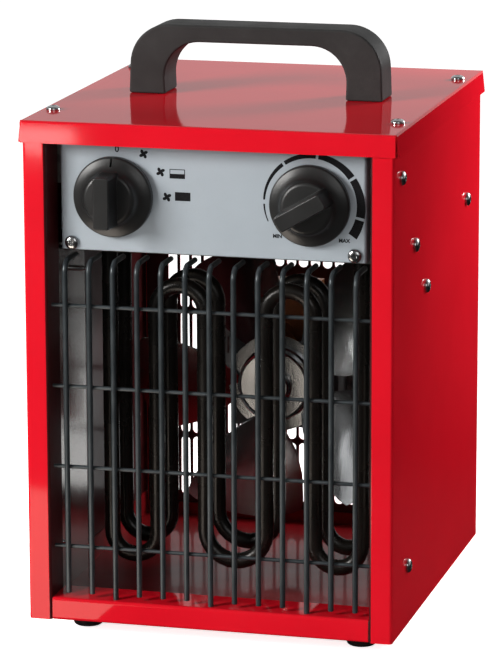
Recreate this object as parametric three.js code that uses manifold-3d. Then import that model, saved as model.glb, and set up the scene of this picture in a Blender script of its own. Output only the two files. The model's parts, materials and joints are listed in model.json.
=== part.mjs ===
// Forced air heater: a folded steel case with a wire guard, two tubular elements, an axial fan and two controls.
// Millimetres, +Z up, the front faces -Y. The feet stand on z = 0; heights of the case count from its bottom.
import * as THREE from "three";
import { mergeVertices } from "three/addons/utils/BufferGeometryUtils.js";
import Module from "manifold-3d";

const wasm = await Module();
wasm.setup();

// ---- Clearances ----
const seatGap = 0.05; // flat faces that rest on each other
const runGap = 0.3; // round fits, turned pieces and cut edges

// ---- Case ----
const caseWidth = 195.6;
const caseDepth = 219.6;
const caseHeight = 265;
const sheet = 0.8;
const bendRadius = 0.8; // inside a fold
const frontFlange = 12.3; // face of the case beside the opening
const flangeReturn = 21; // how far its edge folds back
const lidLedge = 14; // inward ledge that the lid screws bite into
const ledgeInset = 24; // from the front and back to the ledge's ends

// ---- Back slots ----
const slotWidth = 5.4;
const slotLength = 34.6;
const slotColumns = 24;
const slotMargin = 17.3; // from the case side to the middle of the outermost column
const slotPitchZ = 36.8;
const slotBottom = 12.1;
const slotRows = 5;
const upperRowBottom = 149.6; // short row above the motor
const motorClearHalf = 56; // columns nearer the middle than this leave the motor bracket its place

// ---- Base pan ----
const lipHeight = 12.2;
const lipReturn = 24;
const baseFlange = 14;
const rearFlange = 8;
const earHeight = 40;
const earWidth = 16;

// ---- Lid and its screws ----
const lidOverhang = 0.4; // between skirt and case
const lidBend = 0.3; // inside its folds, tighter than the overhang
const lidSkirt = 11.6;
const skirtFlare = 1.2;
const cornerRelief = 1.7;
const lidScrewSide = 6; // screw axis in from the case side
const lidScrewEnd = 34.8; // and from the case front or back

// ---- Control panel ----
const panelSide = 4.5; // between the panel's edge and the front flange's
const panelRecess = 11.4;
const panelBottom = 197.4;
const panelReturn = 10;
const panelScrewInset = 5.9; // screw axis in from the panel's edge
const panelScrewRise = 3.6; // above the panel's bottom edge

// ---- Divider shelf ----
const shelfTop = 194.6;
const shelfFlange = 12;
const shelfJoggle = 16.4; // from the panel's face back to where the shelf steps down
const shelfScrewFront = 50.5; // from the case front
const shelfScrewBack = 37.5; // from the case back
const shelfScrewRise = 5.6; // above the shelf
const cornerClear = 1.4; // what a corner of an inner sheet leaves free at a fold of the case

// ---- Panel brackets ----
const bracketScrewBack = 17.4; // from the case front
const bracketScrewHeight = 240.9;
const bracketHeight = 22;
const bracketArm = 22;

// ---- Heat shields ----
const shieldFront = 29; // from the case front
const shieldLength = 68;
const shieldUpperScrew = [77.8, 173.1]; // from the case front, height
const shieldLowerScrew = [36.2, 32.4];

// ---- Screws ----
const screwHead = 3.7; // head radius
const screwHeadHeight = 2.3;
const screwShank = 1.6;
const screwLength = 9;
const screwHole = screwShank + runGap;

// ---- Feet ----
const footHeight = 10;
const footTop = 9; // radius
const footBottom = 7.6;
const footWeb = 5; // rubber between the screw head and the base
const footInsetX = 23;
const footInsetY = 30.7;

// ---- Wire guard ----
const wireRadius = 1.45;
const crossRadius = 1.05;
const wireCount = 13;
const wireMargin = 8.22; // from the front flange's edge to the outermost wire
const wireSetback = 4.7; // upright axis behind the case front
const wireFoot = 14.4; // lower end of the short wires
const wirePegDepth = 4; // how far the long wires pass below the lip's top face
const wireTail = 20; // length of the bent-back top
const wireBend = 6;
const crossHeights = [39.1, 82.2, 125.3, 168.4];
const weldDepth = 0.3;

// ---- Heating elements ----
const elementRadius = 4.25;
const legMargin = 29.4; // from the case side to the outermost leg
const legShares = [-1, -0.629, -0.241, 0.241, 0.629, 1]; // places of the legs between the outermost two
const elementSetback = 55.7; // front element's plane behind the case front
const elementSpacing = 25.5; // to the rear element
const elementBottom = 18.5; // lowest point of the front element
const rearElementLift = 4;
const elementTop = 175.5; // highest point of the upper bends
const collarRadius = 8;
const collarHeight = 5;
const terminalRise = 16; // cold end above the shelf
const terminalRadius = 1.6;

// ---- Fan ----
const fanHeight = 100;
const fanSetback = 136.7; // front face of the hub disc behind the case front
const fanRadius = 78;
const hubRadius = 20;
const hubDisc = 1.2;
const hubRim = 1.6;
const bossRadius = 9.5;
const bossHeight = 5;
const bladeCount = 5;
const bladeSheet = 0.9;
const bladeOutline = [ // radius and half the chord there, as shares of the fan's radius
  [0.267, 0.077],
  [0.346, 0.167],
  [0.462, 0.263],
  [0.641, 0.34],
  [0.846, 0.385],
  [0.91, 0.372],
];
const bladeTipHalf = 18; // degrees of the rounded tip each side of its middle
const bladePitch = 27;
const firstBlade = 39; // degrees from +X, anticlockwise seen from the front
const webRadius = 27; // the blades leave a flat ring of this radius
const webDepth = 7; // its back behind the hub's front face
const shaftRadius = 2.5;
const nutRadius = 4.6;
const nutHeight = 4;

// ---- Motor ----
const motorGap = 24.5; // hub face to the front bearing bridge
const bridgeSheet = 3.4;
const bridgeHalfHeight = 8;
const bridgeHalfLength = 27;
const bearingRadius = 8;
const bearingLength = 4.5;
const stackHalf = 30;
const stackHeightAbove = 42;
const stackThickness = 20;
const rotorRadius = 14.5;
const coilHalf = 16;
const coilWall = 8;
const windowBottom = 20;
const windowTop = 32;
const boltSpan = 48;
const boltRadius = 1.9;
const boltHead = 3.6;
const mountHalfHeight = 14;
const mountHalfWidth = 40;
const mountFoot = 15;
const lug = { reach: 36.2, width: 7, low: -3, high: 11, hole: 4 };

// ---- Controls ----
const knobSpan = 104; // between the two knob axes
const knobHeight = 226.2;
const knobRadius = 21;
const knobSkirt = 5;
const knobDome = 14;
const knobDomeHeight = 12;
const knobReach = 25.2; // panel face to the front of the grip
const gripWidth = 8.4;
const gripLength = 28;
const gripTaper = 0.7;
const knobLift = 0.6; // running gap over the panel
const boreDepth = 9;
const controlShaft = 3;
const controlHole = 4;
const boreFloor = 3; // left behind the shaft in the body of a control
const switchSize = 28;
const switchDepth = 18;
const thermostatRadius = 16;
const thermostatDepth = 15;
const tagSize = [6.3, 8, 0.8]; // spade terminals
const thermostatTurn = 120; // degrees anticlockwise from upright at rest, at the low end of its scale

// ---- Handle ----
const handleWidth = 136;
const handleRise = 37.5;
const handleDepth = 24;
const handleLeg = 17.5;
const handleGrip = 9.2;
const handleOuter = 21;
const handleInner = 20;
const handleFlare = 1.4; // how far each leg widens outwards and inwards at its foot
const handleEdge = 1.1;
const handleScrewRadius = 2;
const handleScrewBite = 12;

// ---- Small inner pieces ----
const cutoutRadius = 8;
const cutoutHeight = 7;
const blockSize = [44, 20, 16];
const blockWays = 4;
const blockPlace = [20, 60]; // on the shelf
const cutoutPlace = [20, -20];
const glandHeight = 237;
const glandSide = 35.8; // axis in from the case side
const glandReach = 13.8; // behind the back wall
const glandFlange = 10;
const glandBody = 8;
const glandThread = 7;
const glandBore = 3.6;
const glandInside = 9;

// ---- Derived places ----
const sideX = caseWidth / 2;
const frontY = -caseDepth / 2;
const backY = caseDepth / 2;
const innerX = sideX - sheet; // inner face of a side wall
const innerBackY = backY - sheet;
const openingX = sideX - frontFlange; // inner edge of a front flange
const returnEndY = frontY + flangeReturn;
const slotPitchX = (2 * (sideX - slotMargin)) / (slotColumns - 1);
const panelWidth = 2 * (openingX - panelSide);
const panelScrewSpan = panelWidth - 2 * panelScrewInset;
const wirePitch = (2 * (openingX - wireMargin)) / (wireCount - 1);
const elementLegs = legShares.map((share) => share * (sideX - legMargin));
const glandOffset = sideX - glandSide;
const layerX = innerX - seatGap; // outer face of what lies on a side wall
const liningX = layerX - sheet - seatGap; // and of what lies on that
const panelY = frontY + panelRecess; // front face of the panel
const panelBackY = panelY + sheet;
const wireY = frontY + wireSetback;
const shelfY = panelBackY + seatGap; // front face of the shelf's front flange
const shelfScrewHeight = shelfTop + shelfScrewRise;
const screwsInSide = [
  [frontY + bracketScrewBack, bracketScrewHeight],
  [frontY + shelfScrewFront, shelfScrewHeight],
  [backY - shelfScrewBack, shelfScrewHeight],
  [frontY + shieldUpperScrew[0], shieldUpperScrew[1]],
  [frontY + shieldLowerScrew[0], shieldLowerScrew[1]],
];

// ---- Materials ----
const paint = { color: 0xe2142a, roughness: 0.28, metalness: 0.1 };
const greyPanel = { color: 0xb2b8bc, roughness: 0.45, metalness: 0.2 };
const blackPlastic = { color: 0x1e1f20, roughness: 0.55, metalness: 0 };
const rubber = { color: 0x161616, roughness: 0.85, metalness: 0 };
const chrome = { color: 0xd3d8da, roughness: 0.2, metalness: 1 };
const zinc = { color: 0x9b9a96, roughness: 0.35, metalness: 0.9 };
const coatedWire = { color: 0x3c454a, roughness: 0.45, metalness: 0.3 };
const elementSteel = { color: 0x2a2825, roughness: 0.4, metalness: 0.6 };
const copper = { color: 0xa0562c, roughness: 0.4, metalness: 0.9 };
const lamination = { color: 0x55585c, roughness: 0.5, metalness: 0.8 };
const palePlastic = { color: 0xd8d2c0, roughness: 0.5, metalness: 0 };

// ---- Geometry helpers ----

// A closed solid of a geometry, whichever way its faces turn.
function closed(geometry) {
  const bare = geometry.clone();
  bare.deleteAttribute("normal");
  bare.deleteAttribute("uv");
  const merged = mergeVertices(bare, 1e-4);
  const points = merged.attributes.position.array;
  const corner = (i) => new THREE.Vector3().fromArray(points, 3 * i);
  const kept = [];
  let volume = 0;
  for (let i = 0; i < merged.index.count; i += 3) {
    const [a, b, c] = merged.index.array.slice(i, i + 3);
    if (a === b || b === c || a === c) continue;
    kept.push([a, b, c]);
    volume += corner(a).dot(corner(b).cross(corner(c)));
  }
  const faces = volume < 0 ? kept.map(([a, b, c]) => [a, c, b]) : kept;
  return new wasm.Manifold(
    new wasm.Mesh({ numProp: 3, vertProperties: points, triVerts: new Uint32Array(faces.flat()) }),
  );
}

function geometryOf(manifold) {
  const mesh = manifold.getMesh();
  const geometry = new THREE.BufferGeometry();
  geometry.setAttribute("position", new THREE.BufferAttribute(mesh.vertProperties, 3));
  geometry.setIndex(new THREE.BufferAttribute(mesh.triVerts, 1));
  const faceted = geometry.toNonIndexed();
  faceted.computeVertexNormals();
  return faceted;
}

const join = (...geometries) => geometryOf(geometries.map(closed).reduce((whole, piece) => whole.add(piece)));

const cut = (geometry, ...holes) =>
  geometryOf(holes.map(closed).reduce((whole, hole) => whole.subtract(hole), closed(geometry)));

function box([x0, x1], [y0, y1], [z0, z1]) {
  const size = [Math.abs(x1 - x0), Math.abs(y1 - y0), Math.abs(z1 - z0)];
  return new THREE.BoxGeometry(...size).translate((x0 + x1) / 2, (y0 + y1) / 2, (z0 + z1) / 2);
}

// A cylinder along one axis, from one coordinate to another, through the two other coordinates of its centre line.
function rod(axis, radius, [from, to], [u, v], sides = 12) {
  const geometry = new THREE.CylinderGeometry(radius, radius, to - from, sides);
  const middle = (from + to) / 2;
  if (axis === "x") return geometry.rotateZ(Math.PI / 2).translate(middle, u, v);
  if (axis === "z") return geometry.rotateX(Math.PI / 2).translate(u, v, middle);
  return geometry.translate(u, middle, v);
}

function shapeOf(points) {
  return new THREE.Shape(points.map(([x, y]) => new THREE.Vector2(x, y)));
}

// Extrusions of a flat outline: up Z from (x, y), along X from (y, z), or along Y from (x, z).
function extrudeUp(shape, [from, to]) {
  return new THREE.ExtrudeGeometry(shape, { depth: to - from, bevelEnabled: false }).translate(0, 0, from);
}

function extrudeAcross(shape, [from, to]) {
  const geometry = new THREE.ExtrudeGeometry(shape, { depth: to - from, bevelEnabled: false });
  const turn = new THREE.Matrix4().makeBasis(
    new THREE.Vector3(0, 1, 0),
    new THREE.Vector3(0, 0, 1),
    new THREE.Vector3(1, 0, 0),
  );
  return geometry.applyMatrix4(turn).translate(from, 0, 0);
}

function extrudeBack(shape, [from, to], bevel = {}) {
  const options = { depth: to - from, bevelEnabled: false, ...bevel };
  return new THREE.ExtrudeGeometry(shape, options).rotateX(Math.PI / 2).translate(0, to, 0);
}

// The section of a folded sheet whose middle line follows the given corners.
function folded(corners, thickness = sheet, inner = bendRadius, steps = 3) {
  const line = corners.map(([x, y]) => new THREE.Vector2(x, y));
  const left = [];
  const right = [];
  const direction = (i) => line[i + 1].clone().sub(line[i]).normalize();
  const normal = (d) => new THREE.Vector2(-d.y, d.x);
  const put = (point, side, reach) => {
    left.push(point.clone().addScaledVector(side, reach));
    right.push(point.clone().addScaledVector(side, -reach));
  };
  put(line[0], normal(direction(0)), thickness / 2);
  for (let i = 1; i < line.length - 1; i++) {
    const before = direction(i - 1);
    const after = direction(i);
    const turn = Math.sign(before.cross(after));
    const angle = Math.acos(THREE.MathUtils.clamp(before.dot(after), -1, 1));
    const radius = inner + thickness / 2;
    const start = line[i].clone().addScaledVector(before, -radius * Math.tan(angle / 2));
    const centre = start.clone().addScaledVector(normal(before), turn * radius);
    for (let k = 0; k <= steps; k++) {
      const side = normal(before).rotateAround(new THREE.Vector2(), (turn * angle * k) / steps);
      put(centre.clone().addScaledVector(side, -turn * radius), side, thickness / 2);
    }
  }
  put(line[line.length - 1], normal(direction(line.length - 2)), thickness / 2);
  return new THREE.Shape([...left, ...right.reverse()]);
}

// A slot or stadium outline, upright, with round ends.
function slotShape(x, bottom, width, length, steps = 3) {
  const radius = width / 2;
  const points = [];
  for (const [centre, start] of [
    [bottom + length - radius, 0],
    [bottom + radius, Math.PI],
  ]) {
    for (let k = 0; k <= steps; k++) {
      const angle = start + (Math.PI * k) / steps;
      points.push([x + radius * Math.cos(angle), centre + radius * Math.sin(angle)]);
    }
  }
  return shapeOf(points);
}

// A round bar's path: straight runs with rounded corners. The stations lie where the shape needs them.
class BarPath extends THREE.Curve {
  constructor(corners, radius, arcSteps = 4) {
    super();
    const points = corners.map((p) => new THREE.Vector3(...p));
    this.stations = [{ point: points[0], tangent: points[1].clone().sub(points[0]).normalize() }];
    for (let i = 1; i < points.length - 1; i++) {
      const before = points[i].clone().sub(points[i - 1]).normalize();
      const after = points[i + 1].clone().sub(points[i]).normalize();
      const angle = before.angleTo(after);
      const axis = before.clone().cross(after).normalize();
      const start = points[i].clone().addScaledVector(before, -radius * Math.tan(angle / 2));
      const centre = start.clone().addScaledVector(axis.clone().cross(before), radius);
      for (let k = 0; k <= arcSteps; k++) {
        const turn = new THREE.Quaternion().setFromAxisAngle(axis, (angle * k) / arcSteps);
        const point = start.clone().sub(centre).applyQuaternion(turn).add(centre);
        this.stations.push({ point, tangent: before.clone().applyQuaternion(turn) });
      }
    }
    const last = points.length - 1;
    this.stations.push({ point: points[last], tangent: points[last].clone().sub(points[last - 1]).normalize() });
  }

  at(t) {
    return this.stations[Math.round(t * (this.stations.length - 1))];
  }

  getPoint(t) {
    return this.at(t).point.clone();
  }

  getPointAt(t) {
    return this.getPoint(t);
  }

  getSpacedPoints() {
    return this.stations.map(({ point }) => point.clone());
  }

  getTangentAt(t) {
    return this.at(t).tangent.clone();
  }
}

function circleShape(radius, sides) {
  const points = [];
  for (let k = 0; k < sides; k++) {
    const angle = (2 * Math.PI * (k + 0.5)) / sides;
    points.push([radius * Math.cos(angle), radius * Math.sin(angle)]);
  }
  return shapeOf(points);
}

function bar(corners, radius, bend, sides = 8, arcSteps = 4) {
  const path = new BarPath(corners, bend, arcSteps);
  return new THREE.ExtrudeGeometry(circleShape(radius, sides), {
    steps: path.stations.length - 1,
    extrudePath: path,
    bevelEnabled: false,
  });
}

// A turned piece about Y from pairs of radius and height.
function turned(profile, sides = 24) {
  const points = profile.map(([radius, height]) => new THREE.Vector2(radius, height));
  return geometryOf(closed(new THREE.LatheGeometry(points, sides)));
}

function mesh(name, geometry, material, position = [0, 0, 0]) {
  const piece = new THREE.Mesh(geometry, new THREE.MeshStandardMaterial(material));
  piece.name = name;
  piece.position.set(...position);
  return piece;
}

const signs = [-1, 1];
const sideName = (sign) => (sign < 0 ? "left" : "right");

// ---- Screws ----

// A pan-head screw whose head stands along +Y from the seat at the origin.
function panScrew({ head = screwHead, height = screwHeadHeight, shank = screwShank, length = screwLength } = {}) {
  return turned(
    [
      [0, height],
      [head * 0.6, height * 0.88],
      [head, height * 0.3],
      [head, 0],
      [shank, 0],
      [shank, -length + shank],
      [0, -length],
    ],
    10,
  );
}

function screw(name, material, seat, direction, sizes) {
  const piece = mesh(name, panScrew(sizes), material);
  const out = new THREE.Vector3(...direction);
  piece.quaternion.setFromUnitVectors(new THREE.Vector3(0, 1, 0), out);
  piece.position.set(...seat).addScaledVector(out, seatGap);
  return piece;
}

// ---- Sheet-metal case ----

function caseWrap() {
  const middle = sheet / 2;
  const flange = openingX + middle;
  const section = folded([
    [-flange, returnEndY],
    [-flange, frontY + middle],
    [-sideX + middle, frontY + middle],
    [-sideX + middle, backY - middle],
    [sideX - middle, backY - middle],
    [sideX - middle, frontY + middle],
    [flange, frontY + middle],
    [flange, returnEndY],
  ]);
  const ledges = signs.map((sign) =>
    box(
      [sign * (innerX + middle), sign * (sideX - lidLedge)],
      [frontY + ledgeInset, backY - ledgeInset / 4],
      [caseHeight - sheet, caseHeight],
    ),
  );
  const slots = [];
  for (let column = 0; column < slotColumns; column++) {
    const x = (column - (slotColumns - 1) / 2) * slotPitchX;
    if (Math.abs(x) > motorClearHalf) {
      for (let row = 0; row < slotRows; row++) {
        slots.push(slotShape(x, slotBottom + row * slotPitchZ, slotWidth, slotLength));
      }
    } else {
      slots.push(slotShape(x, slotBottom, slotWidth, slotLength));
      slots.push(slotShape(x, slotBottom + slotPitchZ, slotWidth, slotLength));
      slots.push(slotShape(x, upperRowBottom, slotWidth, slotLength));
    }
  }
  return cut(
    join(extrudeUp(section, [0, caseHeight]), ...ledges),
    extrudeBack(slots, [innerBackY - 1, backY + 1]),
    ...screwsInSide.map(([y, z]) => rod("x", screwHole, [-sideX - 1, sideX + 1], [y, z])),
    ...lidScrewPlaces().map(([x, y]) => rod("z", screwHole, [caseHeight - 2, caseHeight + 1], [x, y])),
    rod("y", glandThread + runGap, [innerBackY - 1, backY + 1], [glandOffset, glandHeight], 20),
  );
}

function lidScrewPlaces() {
  return signs.flatMap((sx) =>
    signs.map((sy) => [sx * (sideX - lidScrewSide), sy * (caseDepth / 2 - lidScrewEnd)]),
  );
}

const feetPlaces = signs.flatMap((sx) =>
  signs.map((sy) => [sx * (sideX - footInsetX), sy * (caseDepth / 2 - footInsetY)]),
);

const pegWires = [-4, 0, 4].map((step) => step * wirePitch);
const pegHole = wireRadius + runGap;

function basePan() {
  const middle = sheet / 2;
  const openHalf = openingX - runGap;
  const floorFront = returnEndY + runGap;
  const earY = frontY + shieldLowerScrew[0];
  const rearFace = innerBackY - seatGap;
  const channel = folded([
    [frontY + lipReturn, lipHeight - middle],
    [frontY + middle + runGap, lipHeight - middle],
    [frontY + middle + runGap, middle],
    [floorFront + 1, middle],
  ]);
  const sideEnd = rearFace - cornerClear;
  const rearHalf = layerX - cornerClear;
  const sides = signs.flatMap((sign) => [
    box([sign * (layerX - sheet), sign * layerX], [floorFront, sideEnd], [0, baseFlange]),
    box([sign * (layerX - sheet), sign * layerX], [earY - earWidth / 2, earY + earWidth / 2], [0, earHeight]),
  ]);
  return cut(
    join(
      extrudeAcross(channel, [-openHalf, openHalf]),
      box([-layerX, layerX], [floorFront, sideEnd], [0, sheet]),
      box([-rearHalf, rearHalf], [floorFront, rearFace], [0, sheet]),
      ...sides,
      box([-rearHalf, rearHalf], [rearFace - sheet, rearFace], [0, rearFlange]),
    ),
    rod("x", screwHole, [-sideX, sideX], [earY, shieldLowerScrew[1]]),
    ...feetPlaces.map(([x, y]) => rod("z", footScrew.shank + runGap, [-1, sheet + 1], [x, y])),
    ...pegWires.map((x) => rod("z", pegHole, [lipHeight - 2, lipHeight + 1], [x, wireY])),
  );
}

function lid() {
  const middle = sheet / 2;
  const halfX = sideX + lidOverhang + middle;
  const halfY = caseDepth / 2 + lidOverhang + middle;
  const top = caseHeight + seatGap + middle;
  const low = top + middle - lidSkirt;
  const along = folded([
    [-halfX - skirtFlare, low],
    [-halfX, top],
    [halfX, top],
    [halfX + skirtFlare, low],
  ], sheet, lidBend);
  const across = folded([
    [-halfY, low],
    [-halfY, top],
    [halfY, top],
    [halfY, low],
  ], sheet, lidBend);
  return cut(
    join(
      extrudeBack(along, [-halfY + cornerRelief, halfY - cornerRelief]),
      extrudeAcross(across, [-halfX + cornerRelief, halfX - cornerRelief]),
    ),
    ...lidScrewPlaces().map(([x, y]) => rod("z", screwHole, [top - 2, top + 2], [x, y])),
    ...signs.map((sign) => rod("z", handleScrewRadius + runGap, [top - 2, top + 2], [sign * legX, 0])),
  );
}

function controlPanel() {
  const middle = sheet / 2;
  const half = panelWidth / 2 - middle;
  const top = caseHeight - runGap;
  const section = folded([
    [-half, panelY + panelReturn],
    [-half, panelY + middle],
    [half, panelY + middle],
    [half, panelY + panelReturn],
  ]);
  return cut(
    join(
      extrudeUp(section, [panelBottom, top]),
      box([-half, half], [panelY + middle, panelY + panelReturn], [top - sheet, top]),
    ),
    ...signs.flatMap((sign) => [
      rod("y", controlHole, [panelY - 1, panelY + 2], [(sign * knobSpan) / 2, knobHeight], 16),
      rod("y", screwHole, [panelY - 1, panelY + 2], [(sign * panelScrewSpan) / 2, panelBottom + panelScrewRise]),
    ]),
  );
}

function shelf() {
  const bottom = shelfTop - sheet;
  const top = bottom + shelfFlange;
  const openHalf = openingX - runGap;
  const lipHalf = panelWidth / 2 - sheet - bendRadius - runGap; // the front flange fits inside the panel
  const stepY = panelY + shelfJoggle; // in front of it the shelf is level with the panel's lower edge
  const rearFace = innerBackY - seatGap;
  const sideEnd = rearFace - cornerClear;
  const sides = signs.map((sign) =>
    box([sign * (layerX - sheet), sign * layerX], [stepY - sheet, sideEnd], [bottom, top]),
  );
  const terminals = [elementPlane(0), elementPlane(1)].flatMap((y) =>
    [elementLegs[0], elementLegs.at(-1)].map((x) => rod("z", elementRadius + runGap, [bottom - 1, top], [x, y], 16)),
  );
  return cut(
    join(
      box([-lipHalf, lipHalf], [shelfY, stepY], [panelBottom, panelBottom + sheet]),
      box([-openHalf, openHalf], [panelY + panelReturn + runGap, stepY], [panelBottom, panelBottom + sheet]),
      box([-openHalf, openHalf], [stepY - sheet, stepY], [bottom, panelBottom + sheet]),
      box([-lipHalf, lipHalf], [shelfY, shelfY + sheet], [panelBottom, top]),
      box([-layerX, layerX], [stepY - sheet, sideEnd], [bottom, shelfTop]),
      box([-layerX + cornerClear, layerX - cornerClear], [stepY - sheet, rearFace], [bottom, shelfTop]),
      ...sides,
    ),
    ...terminals,
    ...screwsInSide.slice(1, 3).map(([y, z]) => rod("x", screwHole, [-sideX, sideX], [y, z])),
    ...signs.map((sign) =>
      rod("y", screwHole, [shelfY - 1, shelfY + 2], [(sign * panelScrewSpan) / 2, panelBottom + panelScrewRise]),
    ),
  );
}

function panelBracket(sign) {
  const middle = sheet / 2;
  const wall = layerX - middle;
  const armY = panelY + panelReturn + runGap + middle;
  const section = folded([
    [sign * wall, frontY + bracketScrewBack - 8],
    [sign * wall, armY],
    [sign * (wall - bracketArm), armY],
  ]);
  const low = bracketScrewHeight - bracketHeight / 2;
  return cut(
    extrudeUp(section, [low, low + bracketHeight]),
    rod("x", screwHole, [-sideX, sideX], screwsInSide[0]),
  );
}

function heatShield(sign) {
  const floor = sheet + seatGap;
  const ceiling = shelfTop - sheet - seatGap;
  const x = [sign * (liningX - sheet), sign * liningX];
  const y = [frontY + shieldFront, frontY + shieldFront + shieldLength];
  return cut(
    box(x, y, [floor, ceiling]),
    ...[shieldUpperScrew, shieldLowerScrew].map(([back, z]) =>
      rod("x", screwHole, [-sideX, sideX], [frontY + back, z]),
    ),
  );
}

// ---- Wire guard ----

function guard() {
  const ceiling = shelfTop - sheet - runGap - wireRadius;
  const half = (wireCount - 1) / 2;
  const wires = [];
  for (let i = -half; i <= half; i++) {
    const x = i * wirePitch;
    const foot = pegWires.includes(x) ? lipHeight - wirePegDepth : wireFoot;
    const corners = [
      [x, wireY, foot],
      [x, wireY, ceiling],
      [x, wireY + wireTail, ceiling],
    ];
    wires.push(bar(corners, wireRadius, wireBend, 8, 3));
  }
  const crossY = wireY + wireRadius + crossRadius - weldDepth;
  const reach = openingX - runGap;
  for (const z of crossHeights) wires.push(rod("x", crossRadius, [-reach, reach], [crossY, z], 8));
  return join(...wires);
}

// ---- Feet ----

const footScrew = { head: 3.6, height: 2.4, shank: 2, length: 9 };

function foot() {
  const pocket = footScrew.head + 0.6;
  return turned(
    [
      [footScrew.shank + runGap, footHeight - seatGap],
      [footTop, footHeight - seatGap],
      [footTop, footHeight - 3],
      [footBottom + 0.4, 1.2],
      [footBottom - 0.8, 0],
      [pocket, 0],
      [pocket, footHeight - footWeb],
      [footScrew.shank + runGap, footHeight - footWeb],
      [footScrew.shank + runGap, footHeight - seatGap],
    ],
    18,
  ).rotateX(Math.PI / 2);
}

// ---- Heating elements ----

function elementPlane(index) {
  return frontY + elementSetback + index * elementSpacing;
}

function heatingElement(index) {
  const low = elementBottom + elementRadius + index * rearElementLift;
  const high = elementTop - elementRadius;
  const y = elementPlane(index);
  const ends = shelfTop + collarHeight;
  const stations = [];
  const turnSteps = 6;
  elementLegs.forEach((x, leg) => {
    const down = leg % 2 === 0;
    if (leg === 0) stations.push([x, ends, 0, -1]);
    if (leg === elementLegs.length - 1) {
      stations.push([x, ends, 0, 1]);
      return;
    }
    const radius = (elementLegs[leg + 1] - x) / 2;
    const centreZ = down ? low + radius : high - radius;
    for (let k = 0; k <= turnSteps; k++) {
      const angle = (Math.PI * k) / turnSteps;
      const sine = Math.sin(angle) * (down ? -1 : 1);
      const tangent = [Math.sin(angle), Math.cos(angle) * (down ? -1 : 1)];
      stations.push([x + radius * (1 - Math.cos(angle)), centreZ + radius * sine, ...tangent]);
    }
  });
  const path = new BarPath([[0, 0, 0], [0, 0, 1]], 1);
  path.stations = stations.map(([x, z, tx, tz]) => ({
    point: new THREE.Vector3(x, y, z),
    tangent: new THREE.Vector3(tx, 0, tz).normalize(),
  }));
  const tube = new THREE.ExtrudeGeometry(circleShape(elementRadius, 10), {
    steps: path.stations.length - 1,
    extrudePath: path,
    bevelEnabled: false,
  });
  const fittings = [elementLegs[0], elementLegs.at(-1)].flatMap((x) => {
    const under = shelfTop - sheet - seatGap;
    const over = shelfTop + seatGap;
    return [
      rod("z", collarRadius, [under - 3, under], [x, y], 16),
      rod("z", collarRadius, [over, over + collarHeight - 1], [x, y], 6),
      rod("z", terminalRadius, [ends - 1, ends + terminalRise], [x, y], 8),
    ];
  });
  return join(tube, ...fittings);
}

// ---- Fan and motor, about an axis along Y from the hub's front face ----

function fan() {
  const bore = shaftRadius + runGap;
  const wall = hubRadius - hubRim;
  const hub = turned(
    [
      [bore, -bossHeight],
      [bossRadius, -bossHeight],
      [bossRadius, 0],
      [wall, 0],
      [wall, -hubRim],
      [hubRadius, -hubRim],
      [hubRadius, webDepth - bladeSheet],
      [webRadius, webDepth - bladeSheet],
      [webRadius, webDepth],
      [wall, webDepth],
      [wall, hubDisc],
      [bore, hubDisc],
      [bore, -bossHeight],
    ],
    30,
  );
  const lower = bladeOutline.map(([share, half]) => [share * fanRadius, -half * fanRadius]);
  const upper = bladeOutline.map(([share, half]) => [share * fanRadius, half * fanRadius]).reverse();
  const tip = [];
  const tipSteps = 6;
  for (let k = 0; k <= tipSteps; k++) {
    const angle = THREE.MathUtils.degToRad(bladeTipHalf * ((2 * k) / tipSteps - 1));
    tip.push([fanRadius * Math.cos(angle), fanRadius * Math.sin(angle)]);
  }
  const outline = shapeOf([...lower, ...tip, ...upper]);
  const blades = [];
  for (let k = 0; k < bladeCount; k++) {
    const angle = THREE.MathUtils.degToRad(firstBlade + (360 / bladeCount) * k);
    const blade = extrudeBack(outline, [-bladeSheet / 2, bladeSheet / 2]);
    blade.rotateX(THREE.MathUtils.degToRad(-bladePitch));
    blades.push(blade.rotateY(-angle).translate(0, webDepth - bladeSheet / 2, 0));
  }
  return join(hub, ...blades);
}

// Places along the motor's axis, behind the hub's front face.
const bridgeFrontY = motorGap;
const stackY = bridgeFrontY + bridgeSheet + seatGap;
const bridgeBackY = stackY + stackThickness + seatGap;
const mountY = bridgeBackY + bridgeSheet + seatGap;
const shaftEndY = mountY + sheet + 1;
const bearingBore = shaftRadius + runGap;

function fanNut() {
  return cut(
    rod("y", nutRadius, [-bossHeight - seatGap - nutHeight, -bossHeight - seatGap], [0, 0], 6),
    rod("y", shaftRadius + runGap, [-2 * bossHeight - nutHeight, 1], [0, 0], 16),
  );
}

function bearingBridge(face, bearingFrom, bearingTo, withLug) {
  const parts = [
    box([-bridgeHalfLength, bridgeHalfLength], [face, face + bridgeSheet], [-bridgeHalfHeight, bridgeHalfHeight]),
    rod("y", bearingRadius, [bearingFrom, bearingTo], [0, 0], 20),
  ];
  const holes = [rod("y", bearingBore, [0, shaftEndY + 10], [0, 0], 16)];
  if (withLug) {
    const edge = -lug.reach;
    parts.push(box([edge, -bridgeHalfLength + 1], [face, face + 1], [lug.low, lug.high]));
    const holeX = edge + lug.width / 2;
    const holeZ = lug.low + 3;
    holes.push(
      box([holeX - lug.hole / 2, holeX + lug.hole / 2], [face - 1, face + 2], [holeZ - 1, holeZ + lug.hole - 1]),
    );
  }
  for (const sign of signs) {
    holes.push(rod("y", boltRadius + runGap, [0, shaftEndY + 10], [(sign * boltSpan) / 2, 0]));
  }
  return cut(join(...parts), ...holes);
}

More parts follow.
